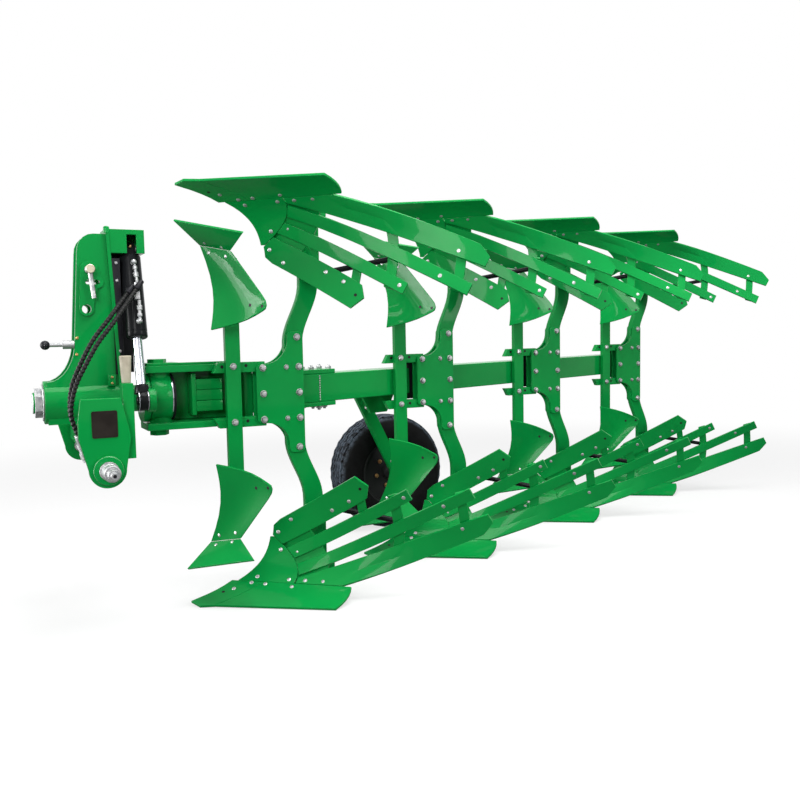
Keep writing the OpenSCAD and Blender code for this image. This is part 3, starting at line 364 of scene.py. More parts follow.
class Finish(Enum):
    """Every finish on the plough, by its slot in the record."""

    GREEN = "green_paint"
    ZINC = "zinc_steel"
    CHROME = "chrome_rod"
    BLACK = "black_paint"
    RIM = "rim_black"
    TYRE = "tyre_rubber"
    CREAM = "cream_plastic"
    HOSE = "hose_rubber"
    PANEL = "panel_black"
    GRIP = "grip_black"
    BRASS = "brass"
    YELLOW = "yellow_zinc"

    @property
    def slot(self) -> str:
        """Return the record's slot that this finish belongs to."""
        return STAND_IN.get(self.value, self.value)


STAND_IN = {
    "panel_black": "black_paint", "grip_black": "black_paint",
    "brass": "zinc_steel", "yellow_zinc": "zinc_steel",
}
G, Z, K = Finish.GREEN, Finish.ZINC, Finish.BLACK

RECIPES: dict[Finish, Enamel | Metal | Rubber | Plastic] = {
    Finish.GREEN: Enamel("green_enamel", (0.002, 0.290, 0.052), (0.001, 0.240, 0.046)),
    Finish.ZINC: Metal("bright_zinc", (0.46, 0.46, 0.46), (0.26, 0.27, 0.28), 0.40),
    Finish.CHROME: Metal("hard_chrome", (0.55, 0.57, 0.62), (0.48, 0.50, 0.55), 0.14),
    Finish.BLACK: Enamel("black_enamel", (0.008, 0.009, 0.010), (0.012, 0.013, 0.015), 0.30, 0.22),
    Finish.RIM: Enamel("rim_enamel", (0.016, 0.017, 0.017), (0.026, 0.027, 0.027), 0.40, 0.25),
    Finish.TYRE: TyreRubber("tyre_rubber", (0.004, 0.004, 0.004), (0.010, 0.010, 0.011)),
    Finish.CREAM: Plastic("cream_moulding", (0.56, 0.51, 0.40), (0.42, 0.37, 0.28)),
    Finish.HOSE: Rubber("hose_rubber", (0.006, 0.006, 0.006), (0.012, 0.012, 0.012), 0.50),
    Finish.PANEL: Plastic("panel_black", (0.012, 0.009, 0.007), (0.019, 0.015, 0.012), 0.40),
    Finish.GRIP: Plastic("grip_black", (0.006, 0.006, 0.008), (0.010, 0.010, 0.014), 0.46),
    Finish.BRASS: Metal("brass", (0.62, 0.36, 0.16), (0.50, 0.30, 0.14), 0.30),
    Finish.YELLOW: Metal("yellow_zinc", (0.60, 0.54, 0.42), (0.46, 0.41, 0.31), 0.38),
}


class Paintshop:
    """Makes each finish once and puts it on pieces."""

    def __init__(self) -> None:
        """Make every material."""
        self.materials = {finish: recipe.make() for finish, recipe in RECIPES.items()}

    def coat(self, piece: Piece, finish: Finish) -> None:
        """Give a piece one finish all over."""
        piece.data.materials.clear()
        piece.data.materials.append(self.materials[finish])


class Bench:
    """Blender's modelling operators, one hand tool a method."""

    sharp = math.radians(32.0)
    smooth = math.radians(40.0)
    merge = 0.00001

    @staticmethod
    def only(piece: Piece) -> None:
        """Select one object and make it active."""
        bpy.ops.object.select_all(action="DESELECT")
        piece.select_set(True)
        bpy.context.view_layer.objects.active = piece

    @staticmethod
    @contextmanager
    def editing(piece: Piece, mode: str = "FACE") -> Iterator[None]:
        """Open a piece in edit mode, all selected, for the length of a block."""
        Bench.only(piece)
        bpy.ops.object.mode_set(mode="EDIT")
        bpy.ops.mesh.select_mode(type=mode)
        bpy.ops.mesh.select_all(action="SELECT")
        yield
        bpy.ops.object.mode_set(mode="OBJECT")

    @staticmethod
    def modify(piece: Piece, kind: str, **settings: Any) -> None:
        """Add a modifier with its settings and apply it."""
        Bench.only(piece)
        modifier = piece.modifiers.new(kind.lower(), kind)
        for key, value in settings.items():
            setattr(modifier, key, value)
        bpy.ops.object.modifier_apply(modifier=modifier.name)

    @staticmethod
    def soften(piece: Piece, width: float) -> None:
        """Round a piece's sharp edges by so many mm and smooth its shading."""
        Bench.modify(
            piece, "BEVEL", width=width * MM, segments=2, limit_method="ANGLE",
            angle_limit=Bench.sharp, use_clamp_overlap=True,
        )
        Bench.only(piece)
        bpy.ops.object.shade_smooth_by_angle(angle=Bench.smooth)
        Bench.modify(piece, "WEIGHTED_NORMAL", keep_sharp=True, weight=50)

    @staticmethod
    def turned(name: str, profile: Sequence[tuple[float, float]], sides: int) -> Piece:
        """Draw a ring out along a profile.

        Args:
            name: the new piece's name.
            profile: its radius and height in mm, step by step up +Z.
                One that ends where it starts leaves a hole.
            sides: corners round it, six for a nut.

        Returns:
            The piece, standing on the origin.
        """
        hollow = profile[0] == profile[-1]
        radius, height = profile[0]
        fill = "NOTHING" if hollow else "NGON"
        bpy.ops.mesh.primitive_circle_add(vertices=sides, radius=radius * MM, fill_type=fill)
        piece = bpy.context.object
        piece.name = name
        with Bench.editing(piece, "EDGE" if hollow else "FACE"):
            bpy.ops.transform.translate(value=(0.0, 0.0, height * MM))
            for reach, level in profile[1:]:
                rise = {"value": (0.0, 0.0, (level - height) * MM)}
                bpy.ops.mesh.extrude_region_move(TRANSFORM_OT_translate=rise)
                grow = reach / radius
                bpy.ops.transform.resize(value=(grow, grow, 1.0), center_override=(0.0, 0.0, level * MM))
                radius, height = reach, level
            bpy.ops.mesh.select_all(action="SELECT")
            if hollow:
                bpy.ops.mesh.remove_doubles(threshold=Bench.merge)
            bpy.ops.mesh.normals_make_consistent(inside=False)
        return piece

    @staticmethod
    def block(name: str, size: Sequence[float], edge: float = 1.5) -> Piece:
        """Return a block of so many mm about the origin, its edges rounded."""
        bpy.ops.mesh.primitive_cube_add(size=1.0)
        piece = bpy.context.object
        piece.name = name
        with Bench.editing(piece, "EDGE"):
            scale = tuple(v * MM for v in size)
            bpy.ops.transform.resize(value=scale, center_override=(0.0, 0.0, 0.0))
            bpy.ops.mesh.bevel(offset=edge * MM, segments=2, affect="EDGES")
        return piece

    @staticmethod
    def panel(name: str, width: float, height: float, thick: float, corner: float) -> Piece:
        """Return a plate with rounded corners lying on the origin, all in mm."""
        bpy.ops.mesh.primitive_plane_add(size=1.0)
        piece = bpy.context.object
        piece.name = name
        with Bench.editing(piece, "VERT"):
            scale = (width * MM, height * MM, 1.0)
            bpy.ops.transform.resize(value=scale, center_override=(0.0, 0.0, 0.0))
            bpy.ops.mesh.bevel(offset=corner * MM, segments=5, affect="VERTICES")
            bpy.ops.mesh.select_all(action="SELECT")
            bpy.ops.mesh.extrude_region_move(TRANSFORM_OT_translate={"value": (0.0, 0.0, thick * MM)})
            bpy.ops.mesh.select_all(action="SELECT")
            bpy.ops.mesh.normals_make_consistent(inside=False)
        return piece

    @staticmethod
    def join(name: str, pieces: Sequence[Piece]) -> Piece:
        """Join pieces into one whose place is in its mesh."""
        bpy.ops.object.select_all(action="DESELECT")
        for piece in pieces:
            piece.select_set(True)
        bpy.context.view_layer.objects.active = pieces[0]
        if len(pieces) > 1:
            bpy.ops.object.join()
        bpy.ops.object.transform_apply(location=True, rotation=True, scale=True)
        pieces[0].name = name
        return pieces[0]

    @staticmethod
    def stamp(name: str, master: Piece, places: Sequence[Matrix]) -> Piece:
        """Set a copy of a piece at each place, joined into one.

        Args:
            name: the joined piece's name.
            master: the piece modelled once, used up here.
            places: where each copy goes.

        Returns:
            The joined piece.
        """
        copies = []
        for place in places:
            copy = bpy.data.objects.new(name, master.data.copy())
            bpy.context.scene.collection.objects.link(copy)
            copy.matrix_world = place
            copies.append(copy)
        bpy.data.objects.remove(master)
        bpy.context.view_layer.update()
        return Bench.join(name, copies)

    @staticmethod
    def copy_node(node: str) -> Piece:
        """Return a merged copy of a CAD node's mesh, flat faces in one."""
        piece = bpy.data.objects.new(f"{node}_dressed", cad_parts[node].data.copy())
        bpy.context.scene.collection.objects.link(piece)
        with Bench.editing(piece, "VERT"):
            bpy.ops.mesh.remove_doubles(threshold=2.0 * Bench.merge)
            bpy.ops.mesh.dissolve_limited(angle_limit=math.radians(0.4))
        return piece


class Hardware:
    """Bolts and nuts, each modelled once for its copies."""

    @staticmethod
    def cap_bolt(name: str, radius: float) -> Piece:
        """Return a hexagon head on its washer.

        Args:
            name: the piece's name.
            radius: the washer's radius, in mm.

        Returns:
            The piece, standing on the origin.
        """
        r = radius
        washer = Bench.turned(name, ((r, -0.5), (r, 0.14 * r), (0.94 * r, 0.2 * r)), 18)
        hexagon = ((0.84 * r, 0.1 * r), (0.84 * r, 0.62 * r), (0.7 * r, 0.8 * r), (0.36 * r, 0.86 * r))
        return Bench.join(name, (washer, Bench.turned(name, hexagon, 6)))

    @staticmethod
    def stud_nut(name: str, radius: float) -> Piece:
        """Return a hexagon nut with its bolt's end standing out."""
        r = radius
        nut = Bench.turned(name, ((r, -0.5), (r, 0.75 * r), (0.86 * r, 0.88 * r), (0.5 * r, 0.88 * r)), 6)
        end = Bench.turned(name, ((0.52 * r, 0.5 * r), (0.52 * r, 1.25 * r), (0.4 * r, 1.4 * r)), 12)
        return Bench.join(name, (nut, end))

    @staticmethod
    def flush_bolt(name: str, radius: float) -> Piece:
        """Return a countersunk bolt's low round head."""
        r = radius
        return Bench.turned(name, ((r, -1.5), (r, 0.5), (0.8 * r, 1.5), (0.3 * r, 2)), 12)

    @staticmethod
    def ball(name: str, radius: float) -> Piece:
        """Return a ball drawn out ring by ring."""
        angles = [math.pi * (0.06 + 0.88 * ring / 6) for ring in range(7)]
        return Bench.turned(name, [(radius * math.sin(a), -radius * math.cos(a)) for a in angles], 14)


@dataclass(frozen=True)
class Shape:
    """CAD nodes dressed alike, their edges rounded by so many mm."""

    finish: Finish
    edge: float
    nodes: tuple[str, ...]


@dataclass(frozen=True)
class Row:
    """Like pieces on their feet, in mm from the turnover axis.

    They point along one direction or, where it is None, each out to its own side.
    """

    name: str
    finish: Finish
    feet: tuple[Point, ...]
    along: Point | None
    make: Callable[[str], Piece]

    def places(self) -> list[Matrix]:
        """Return where its copies stand."""
        outwards = [(0, math.copysign(1, foot[1]), 0) for foot in self.feet]
        return [aim(at(*foot), self.along or out) for foot, out in zip(self.feet, outwards)]


@dataclass
class Assembly:
    """A sub-assembly of the plough."""

    shop: Paintshop
    shapes: tuple[Shape, ...] = ()
    trim: tuple[Row, ...] = ()
    ride: Ride = Ride.FRAME

    def dress(self) -> None:
        """Stand a softened, painted copy in for each CAD node."""
        for shape, node in ((shape, node) for shape in self.shapes for node in shape.nodes):
            piece = Bench.copy_node(node)
            Bench.soften(piece, shape.edge)
            self.shop.coat(piece, shape.finish)
            self.settle(piece, node)

    def build(self) -> None:
        """Model what the CAD nodes leave out."""
        for item in self.trim:
            self.put(item.make(item.name), item.finish, *item.places())

    def fit(self, piece: Piece, finish: Finish, *nodes: str, smooth: float = 40.0) -> Piece:
        """Paint a modelled piece and set it on this assembly's body.

        Args:
            piece: the piece, its place in its mesh.
            finish: its paint or plating.
            nodes: CAD nodes that it stands in for.
            smooth: edges flatter than this are shaded smooth, in degrees.

        Returns:
            The same piece.
        """
        Bench.only(piece)
        bpy.ops.object.shade_smooth_by_angle(angle=math.radians(smooth))
        self.shop.coat(piece, finish)
        self.settle(piece, *nodes)
        return piece

    def put(self, piece: Piece, finish: Finish, *places: Matrix, nodes: Sequence[str] = ()) -> Piece:
        """Stamp a piece at its places, paint it and set it on the body."""
        return self.fit(Bench.stamp(piece.name, piece, places), finish, *nodes)

    def settle(self, piece: Piece, *nodes: str) -> None:
        """Ride a piece on this assembly's body, in place of CAD nodes where named."""
        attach(piece, self.ride.value)
        if nodes:
            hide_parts(*nodes)
        log.info("%s on %s: %d faces", piece.name, self.ride.value, len(piece.data.polygons))


@dataclass
class Headstock(Assembly):
    """The fixed tower that the tractor carries."""

    shapes: tuple[Shape, ...] = (
        Shape(G, 3, ("hub_tube",)),
        Shape(G, 2.5, ("mast_plates", "hitch_plates")),
        Shape(G, 2, ("mast_doublers", "rib_plate", "cylinder_bracket", "stop_posts")),
        Shape(Z, 1.5, ("cylinder_pin", "lower_link_pins", "top_link_pin")),
        Shape(G, 5, ("cross_tube",)),
        Shape(Finish.CREAM, 3, ("buffer_block",)),
        Shape(Z, 1, ("lock_plunger",)),
    )
    ride: Ride = Ride.HEADSTOCK
    panel_place: Point = (5, 386.5, -54.3)
    panel: tuple[float, float, float, float] = (82, 89.5, 2.4, 6)
    trim: tuple[Row, ...] = (
        Row("lock_knob", Finish.GRIP, ((148, 46, 207),), FORE, partial(Hardware.ball, radius=16.8)),
        # Painted shade: two black blocks stand in for the shade on the rib's edge and behind it; the bolts
        # are seen on the near one.
        Row("rib_shade_strip", Finish.GRIP, ((-102, 22, 306),), UP, partial(Bench.block, size=(30, 84, 422))),
        Row("rib_shade_back", Finish.GRIP, ((-128, -54, 328),), UP, partial(Bench.block, size=(84, 12, 462))),
        Row(
            "rib_strip_bolts", Z, tuple((-104, 64, z) for z in (500, 436, 180)), NEAR,
            partial(Hardware.cap_bolt, radius=5.5),
        ),
        Row("bracket_web", G, ((-148, -44, 574),), UP, partial(Bench.block, size=(100, 8, 66))),
        Row("pin_bosses", G, on_pins(386.5), None, partial(Bench.turned, sides=40, profile=(
            (31.4, -1), (49, -1), (49, 10), (46, 13), (31.4, 13), (31.4, -1),
        ))),
        Row(
            "brass_nuts", Finish.BRASS, ((41, 54, 231), (45, 54, 172)), NEAR,
            partial(Hardware.stud_nut, radius=5.5),
        ),
        Row("pin_disc", Finish.YELLOW, ((-10, 97, 475),), NEAR, partial(Bench.turned, sides=20, profile=(
            (15, -2), (16, 0), (16, 5), (14, 7),
        ))),
        Row("rib_dome", G, ((-76, 58, 621),), UP, partial(Bench.turned, sides=16, profile=(
            (11, -14), (11, 5), (9, 9), (4, 11),
        ))),
        Row("nipple_block", G, ((-70, 66, 74),), UP, partial(Bench.block, size=(26, 14, 42), edge=2)),
        Row(
            "grease_nipples", Finish.BRASS, ((-70, 73, 64), (-70, 73, 86)), NEAR,
            partial(Bench.turned, sides=8, profile=(
                (4.5, -1), (4.5, 5), (3, 6), (3, 10), (4, 11), (2.5, 14),
            )),
        ),
        Row("pin_centres", Finish.GRIP, on_pins(526.5), None, partial(Bench.turned, sides=12, profile=(
            (6, -2), (6, 0.4), (4, 0.5),
        ))),
        Row("pin_rings", Z, on_pins(424, 470), None, partial(Bench.turned, sides=24, profile=(
            (25.4, 0), (27.6, 1.5), (27.6, 5), (25.4, 6.5), (25, 3), (25.4, 0),
        ))),
    )

    def build(self) -> None:
        """Add the blank panel and the trim."""
        blank = Bench.panel("blank_panel", *self.panel)
        self.put(blank, Finish.PANEL, aim(at(*self.panel_place), NEAR))
        super().build()


class Ram:
    """The turnover cylinder's own axes, from its upper pin down to its eye."""

    pin: Point = (-162, 0, 556)
    reach: float = 150.0
    length: float = math.hypot(reach, pin[2])

    @classmethod
    def axes(cls) -> tuple[Vector, Vector]:
        """Return the directions along the ram and to its near side."""
        lean = math.atan2(cls.reach, cls.pin[2])
        cos, sin = math.cos(lean), math.sin(lean)
        return Vector((0, sin, -cos)), Vector((0, cos, sin))

    @classmethod
    def spot(cls, fore: float, side: float, along: float) -> Vector:
        """Return a point by mm fore of, beside and along the ram's axis."""
        down, near = cls.axes()
        return at(*cls.pin) + (Vector((fore, 0, 0)) + near * side + down * along) * MM

    @classmethod
    def frame(cls, fore: float, side: float, along: float) -> Matrix:
        """Return a place there that points along the ram."""
        down, near = cls.axes()
        turn = Matrix((near.cross(down), near, down)).transposed().to_4x4()
        return Matrix.Translation(cls.spot(fore, side, along)) @ turn

    @classmethod
    def sideways(cls, fore: float, along: float, side: float = 0) -> Matrix:
        """Return a place there that points to the near side."""
        return aim(cls.spot(fore, side, along), cls.axes()[1])


class HoseRun:
    """The two hoses' routes, as in the CAD source."""

    marks = ((-52, -75, 296), (10, -35, 222), (59, -12, 137), (90, -2, 62), (97, 0, -24), (78, -2, -96))
    apart = ((-17, 11, -8), (-16, 12.5, -8), (-14, 15.5, -4), (-9, 19, 0), (0, 21.5, 0), (0, 21.5, 0))
    ports = ((14, 98, 408), (-18, 96, 424))
    run_y = 270.0
    fitting = 34.0

    @classmethod
    def port(cls, k: int) -> Vector:
        """Return the elbow that one hose starts from."""
        x, y, z = cls.ports[k]
        return at(Ram.pin[0] + x, y, z)

    @classmethod
    def route(cls, k: int) -> list[Vector]:
        """Return the marks that one hose passes."""
        run = Vector((0, cls.run_y, 0))
        marks = [at(*(run + Vector(m) + k * Vector(a))) for m, a in zip(cls.marks, cls.apart)]
        lead = (marks[0] - cls.port(k)).normalized()
        return [cls.port(k) + lead * cls.fitting * MM, *marks]

    @classmethod
    def path(cls, k: int, steps: int) -> list[Vector]:
        """Return points along the smooth curve through one hose's marks."""
        p = cls.route(k)
        p = [2 * p[0] - p[1], *p, 2 * p[-1] - p[-2]]
        spans = len(p) - 3
        curve = []
        for i in range(steps + 1):
            t = i / steps * spans
            n = min(int(t), spans - 1)
            a, b, c, d = p[n:n + 4]
            f = t - n
            bend = (2 * a - 5 * b + 4 * c - d) * f * f + (3 * b - a - 3 * c + d) * f ** 3
            curve.append(b + ((c - a) * f + bend) / 2)
        return curve


@dataclass
class TurnoverCylinder(Assembly):
    """The ram that rolls the plough over."""

    shapes: tuple[Shape, ...] = (Shape(K, 1.5, ("cylinder_barrel",)),)
    ride: Ride = Ride.BARREL
    out: float = 47.0
    balls: Spots = ((66, -4), (290, -6))
    stems: tuple[Point, ...] = ((66, 150, -6), (290, 206, -8))
    stem_slant: float = 4.0
    boss: Profile = ((10, 34), (10, 40), (8, 41), (8, 46))
    ball: float = 11.0
    stem: Profile = (
        (5, 0), (5, 16), (8.5, 17), (8.5, 28), (6, 29), (6, 40), (9.5, 41),
        (9.5, 58), (6, 59), (6, 78),
    )
    core: Point = (18, 18, 64)
    core_place: Point = (-6, 46, 178)
    boot: Profile = ((9, -13), (9.5, -8), (9.5, 6), (11.5, 7), (11.5, 30), (9.5, 33.7))
    nipple: Profile = ((5, -1), (5, 6), (3, 7), (3, 11))
    nipple_out: float = 26.0
    jacket: Profile = (
        (32.5, 30.5), (36, 30.5), (38.5, 33), (38.5, 318), (37.4, 319), (37.4, 322),
        (38.5, 323), (38.5, 338), (36, 341.5), (32.5, 341.5), (32.5, 30.5),
    )

    def build(self) -> None:
        """Add the jacket and the chain of pipe fittings on the barrel's near side."""
        parts: list[Piece] = []
        for along, fore in self.balls:
            boss = Bench.turned("fit_boss", self.boss, sides=14)
            parts.append(Bench.stamp("fit_boss", boss, [Ram.sideways(fore, along)]))
            head = Hardware.ball("fit_ball", self.ball)
            parts.append(Bench.stamp("fit_ball", head, [Ram.sideways(fore, along, self.out)]))
        for start, end, fore in self.stems:
            foot = Ram.spot(fore, self.out, start)
            tip = Ram.spot(fore - self.stem_slant, self.out, end)
            stem = Bench.turned("fit_stem", self.stem, sides=8)
            parts.append(Bench.stamp("fit_stem", stem, [aim(foot, tip - foot)]))
        core = Bench.block("fit_core", self.core, edge=3)
        parts.append(Bench.stamp("fit_core", core, [Ram.frame(*self.core_place)]))
        self.fit(Bench.join("port_fittings", parts), Z, "port_block", smooth=30)
        leads = [aim(HoseRun.port(k), HoseRun.route(k)[0] - HoseRun.port(k)) for k in (0, 1)]
        self.put(Bench.turned("hose_boots", self.boot, sides=14), Finish.GRIP, *leads)
        nipple = Bench.turned("eye_nipple", self.nipple, sides=8)
        self.put(nipple, Finish.BRASS, Ram.sideways(0, 0, self.nipple_out))
        jacket = Bench.turned("barrel_jacket", self.jacket, sides=40)
        self.put(jacket, K, Ram.frame(0, 0, 0))


@dataclass
class CylinderRod(Assembly):
    """The ram's rod and eye."""

    shapes: tuple[Shape, ...] = (Shape(Finish.CHROME, 1, ("cylinder_rod",)),)
    ride: Ride = Ride.ROD
    shell: Profile = (
        (15.6, -17.6), (34.6, -17.6), (36.7, -14), (36.7, 14), (34.6, 17.6), (15.6, 17.6),
        (15.6, -17.6),
    )
    neck: Profile = ((18, 0), (22, 2), (25, 10), (27, 24), (28, 32))
    neck_back: float = 59.0

    def build(self) -> None:
        """Add the black forged eye."""
        ring = Bench.turned("rod_eye", self.shell, sides=32)
        eye = Bench.stamp("rod_eye", ring, [aim(Ram.spot(0, 0, Ram.length), FORE)])
        neck = Bench.turned("rod_neck", self.neck, sides=20)
        collar = Bench.stamp("rod_eye", neck, [Ram.frame(0, 0, Ram.length - self.neck_back)])
        self.fit(Bench.join("rod_eye", (eye, collar)), K)


@dataclass
class TurningFrame(Assembly):
    """Axle, fork, beam and all that is bolted along them."""

    shapes: tuple[Shape, ...] = (
        Shape(G, 2, ("axle", "lug", "strap_plates", "wheel_bracket")),
        Shape(Z, 1.5, ("axle_nut",)),
        Shape(G, 3, ("rear_hub",)),
        Shape(G, 2.5, ("fork_plates", "leg_brackets")),
        Shape(G, 1.5, ("pivot_bolt",)),
        Shape(G, 4, ("head_box",)),
        Shape(G, 5, ("beam",)),
    )
    trim: tuple[Row, ...] = (
        Row("fork_deck", G, ((-256, 0, 126),), UP, partial(Bench.block, size=(118, 116, 10), edge=2)),
        Row("fork_rail", G, ((-420, 40, 125.5),), UP, partial(Bench.block, size=(250, 24, 9), edge=2)),
        Row("bracket_cheek", G, ((-374, 2, 6),), UP, partial(Bench.block, size=(18, 78, 162), edge=3)),
        Row(
            "bracket_leaves", G, tuple((-434, 1, z) for z in (-41, 1, 43)), UP,
            partial(Bench.block, size=(104, 70, 41), edge=3),
        ),
        # Painted shadow: a black ring stands in for the shadow in the gap at the hub's end.
        Row("hub_shadow_ring", Finish.GRIP, ((-298, 0, 0),), FORE, partial(Bench.turned, sides=48, profile=(
            (79, 0), (91, 1.5), (93, 5), (91, 8.5), (79, 10), (79, 0),
        ))),
        Row("hub_sleeve", Finish.CHROME, ((-288, 0, 0),), FORE, partial(Bench.turned, sides=48, profile=(
            (79, 0), (88, 0.5), (88, 4), (79, 4.5), (79, 0),
        ))),
        Row("hub_drum", G, ((-283.5, 0, 0),), FORE, partial(Bench.turned, sides=64, profile=(
            (79, 0), (88, 0), (90.5, 3), (90.5, 72), (88, 75), (79, 75), (79, 0),
        ))),
        Row("eye_pin", K, ((-208, Ram.reach, 0),), FORE, partial(Bench.turned, sides=20, profile=(
            (12, -4), (16.5, -3), (16.5, 0), (14.6, 0.5), (14.6, 66), (12.5, 68), (5, 68),
        ))),
        Row("axle_end", Z, ((190, 0, 0),), FORE, partial(Bench.turned, sides=32, profile=(
            (37.9, 0), (37.9, 6), (36.4, 7.6), (12, 7.6),
        ))),
    )
    slant: float = 19.54
    beam_face: float = -122.0
    beam_half: float = 60.0
    strap_face: float = 78.0
    nuts_under: Spots = ((-181, -29), (-162, 33), (-222, 0), (-125, -30))
    nuts_over: Spots = ((-125, -30), (-125, 30), (-222, -30), (-222, 30))
    shade_plate: Point = (188, -58, 0)
    teeth: tuple[float, float] = (-145, 61)

    def on_beam(self, along: float, off: float, z: float) -> Vector:
        """Return a point by mm along and across the slanting beam."""
        cos, sin = math.cos(math.radians(self.slant)), math.sin(math.radians(self.slant))
        middle = BODY_FIRST.y + self.beam_face - self.beam_half / cos
        return at(BODY_FIRST.x + along * cos - off * sin, middle + along * sin + off * cos, z)

    def build(self) -> None:
        """Add the trim, black plates painted in as shade behind the leg brackets, the strap nuts and the
        scale's teeth.
        """
        super().build()
        # Painted shade: black plates stand in for the shade in the hollows behind the leg brackets.
        shade_plate = Bench.block("bracket_shade_plate", (62, 8, 170))
        backs = [Matrix.Translation(station(i, *self.shade_plate)) for i in range(1, BODIES)]
        self.put(shade_plate, K, *backs)
        under = [aim(self.on_beam(t, w, -self.strap_face), DOWN) for t, w in self.nuts_under]
        over = [aim(self.on_beam(t, w, self.strap_face), UP) for t, w in self.nuts_over]
        self.put(Hardware.stud_nut("strap_nuts", radius=13), Z, *under, *over)
        tooth = Bench.block("scale_teeth", (5, 4, 7), edge=1)
        teeth = [Matrix.Translation(self.on_beam(*self.teeth, z)) for z in range(-50, 60, 10)]
        self.put(tooth, Z, *teeth)


@dataclass
class PloughBodies(Assembly):
    """Legs and slatted bodies, above and below the beam."""

    shapes: tuple[Shape, ...] = (
        Shape(G, 2.5, ("leg_plates", "frogs")),
        Shape(G, 4, ("legs",)),
        Shape(G, 1.5, (
            "points", "shares", "shins", "slats_first",
            "slats_second", "slats_third", "slats_fourth",
        )),
        Shape(G, 2, ("carriers", "cross_bars", "landsides")),
        Shape(K, 1.5, ("stays",)),
    )
    plate_bolts: Spots = (
        (148, 101), (0, 101), (148, 0), (0, 0), (148, -101), (0, -101), (5, 218), (5, -218),
    )
    bolt_turn: float = 15.0
    plate_studs: Spots = ((52, 101), (52, -101))
    far_face: float = -54.0
    board_bolts: Spots = (
        (58, 181), (197, 79), (56, 86), (33, 250), (86, 302), (260, 343), (335, 382), (127, 175), (557, 403),
        (190, 118), (707, 372), (266, 77), (341, 75), (771, 280), (133, 65), (255, 59), (46, 51), (70, 68),
    )
    board_hole_shades: Spots = ((163, 343), (391, 435), (33, 42))

    def build(self) -> None:
        """Bolt the legs and the boards."""
        every = range(BODIES)
        near = [
            aim(station(i, x, 0, z), NEAR, self.bolt_turn * i) for i in every for x, z in self.plate_bolts
        ]
        self.put(Hardware.cap_bolt("leg_bolts", radius=14), Z, *near)
        small = [aim(station(i, x, 0, z), NEAR) for i in every for x, z in self.plate_studs]
        self.put(Hardware.cap_bolt("leg_studs", radius=10), Z, *small)
        outer = [(x, z) for x, z in self.plate_bolts if z]
        far = [aim(station(i, x, self.far_face, z), FAR) for i in every for x, z in outer]
        self.put(Hardware.stud_nut("leg_nuts", radius=12), Z, *far)
        mould = Mould()
        heads = [mould.seat(i, up, s, h) for i, up in PAIRS for s, h in self.board_bolts]
        self.put(Hardware.flush_bolt("board_bolts", radius=8), Z, *heads)
        # Painted shade: dark discs stand in for the shade inside the boards' empty holes.
        dark = Bench.turned("board_hole_shades", ((6.5, -1.5), (6.5, 0.25), (4, 0.3)), 12)
        holes = [mould.seat(i, up, s, h) for i, up in PAIRS for s, h in self.board_hole_shades]
        self.put(dark, Finish.GRIP, *holes)


@dataclass(frozen=True)
class Mould:
    """The twisted surface that every board of a body lies in, in mm."""

    base: float = 95.0
    reach: float = 462.0
    decay: float = 73.0
    lean: float = 50.0
    span: float = 480.0
    sweep: float = 34.0
    gain: float = 8.0
    power: float = 1.5
    land: float = -45.0
    tread_band: float = -808.0

    def point(self, s: float, h: float) -> Vector:
        """Return the surface's point at a distance from the land side and a height."""
        turn = math.radians(self.sweep + self.gain * (max(h, 0) / self.span) ** self.power)
        line = self.base + self.reach * math.exp(-h / self.decay) + self.lean * (h / self.span) ** 2
        return Vector((line - s * math.cos(turn), self.land + s * math.sin(turn), h + self.tread_band))

    def normal(self, s: float, h: float) -> Vector:
        """Return the direction that the surface faces there."""
        across = self.point(s + 1, h) - self.point(s - 1, h)
        return across.cross(self.point(s, h + 1) - self.point(s, h - 1)).normalized()

    def seat(self, index: int, upper: bool, s: float, h: float) -> Matrix:
        """Return the place of a bolt head on one body's boards."""
        return flipped(index, upper, self.point(s, h), self.normal(s, h))


def flipped(index: int, upper: bool, point: Sequence[float], along: Sequence[float]) -> Matrix:
    """Return a place on a lower body, or on its mirror image above.

    Args:
        index: the leg pair, from the front.
        upper: the body above the beam is meant.
        point: the lower body's point, in mm from the leg pair's datum.
        along: the direction that the piece points in there.

    Returns:
        The place as a matrix.
    """
    sign = -1.0 if upper else 1.0
    x, y, z = point
    u, v, w = along
    return aim(station(index, x, y, sign * z), (u, v, sign * w))


@dataclass
class Skimmers(Assembly):
    """The small trash boards ahead of each leg."""

    shapes: tuple[Shape, ...] = (
        Shape(G, 2.5, ("skimmer_arms",)),
        Shape(G, 3, ("skimmer_shanks",)),
        Shape(G, 1.2, ("skimmer_boards", "skimmer_shares")),
    )
    heads: tuple[tuple[Point, Point], ...] = (
        ((338, -20, -540), (0.85, 0.51, -0.10)), ((294, 52, -521), (0.87, 0.48, 0.05)),
        ((352, -19, -574), (0.62, 0.19, 0.76)), ((306, 46, -554), (0.66, 0.22, 0.71)),
    )
    holes: tuple[tuple[Point, Point], ...] = (
        ((237, 151, -338), (0.87, 0.49, -0.07)), ((210, 208, -332), (0.92, 0.38, -0.09)),
    )
    arm_holes: tuple[Point, ...] = ((211, -12, 112), (211, -12, -103), (305, -12, 110))
    clamps: tuple[Point, ...] = ((268, 13, 111), (268, 13, -103))

    def build(self) -> None:
        """Bolt the skimmers to their shanks and the shanks to their arms."""
        every = range(BODIES)
        places = [flipped(i, up, p, n) for i, up in PAIRS for p, n in self.heads]
        self.put(Hardware.flush_bolt("skimmer_bolts", radius=7), Z, *places)
        # Painted shade: dark discs stand in for the shade inside the empty holes of the boards and arms.
        dark = Bench.turned("skimmer_hole_shades", ((6.5, -1.5), (6.5, 0.4), (4, 0.5)), 12)
        flare = [flipped(i, up, p, n) for i, up in PAIRS for p, n in self.holes]
        arms = [aim(station(i, *hole), NEAR) for i in every for hole in self.arm_holes]
        self.put(dark, Finish.GRIP, *flare, *arms)
        clamps = [aim(station(i, *clamp), NEAR) for i in every for clamp in self.clamps]
        self.put(Hardware.cap_bolt("shank_bolts", radius=13), Z, *clamps)


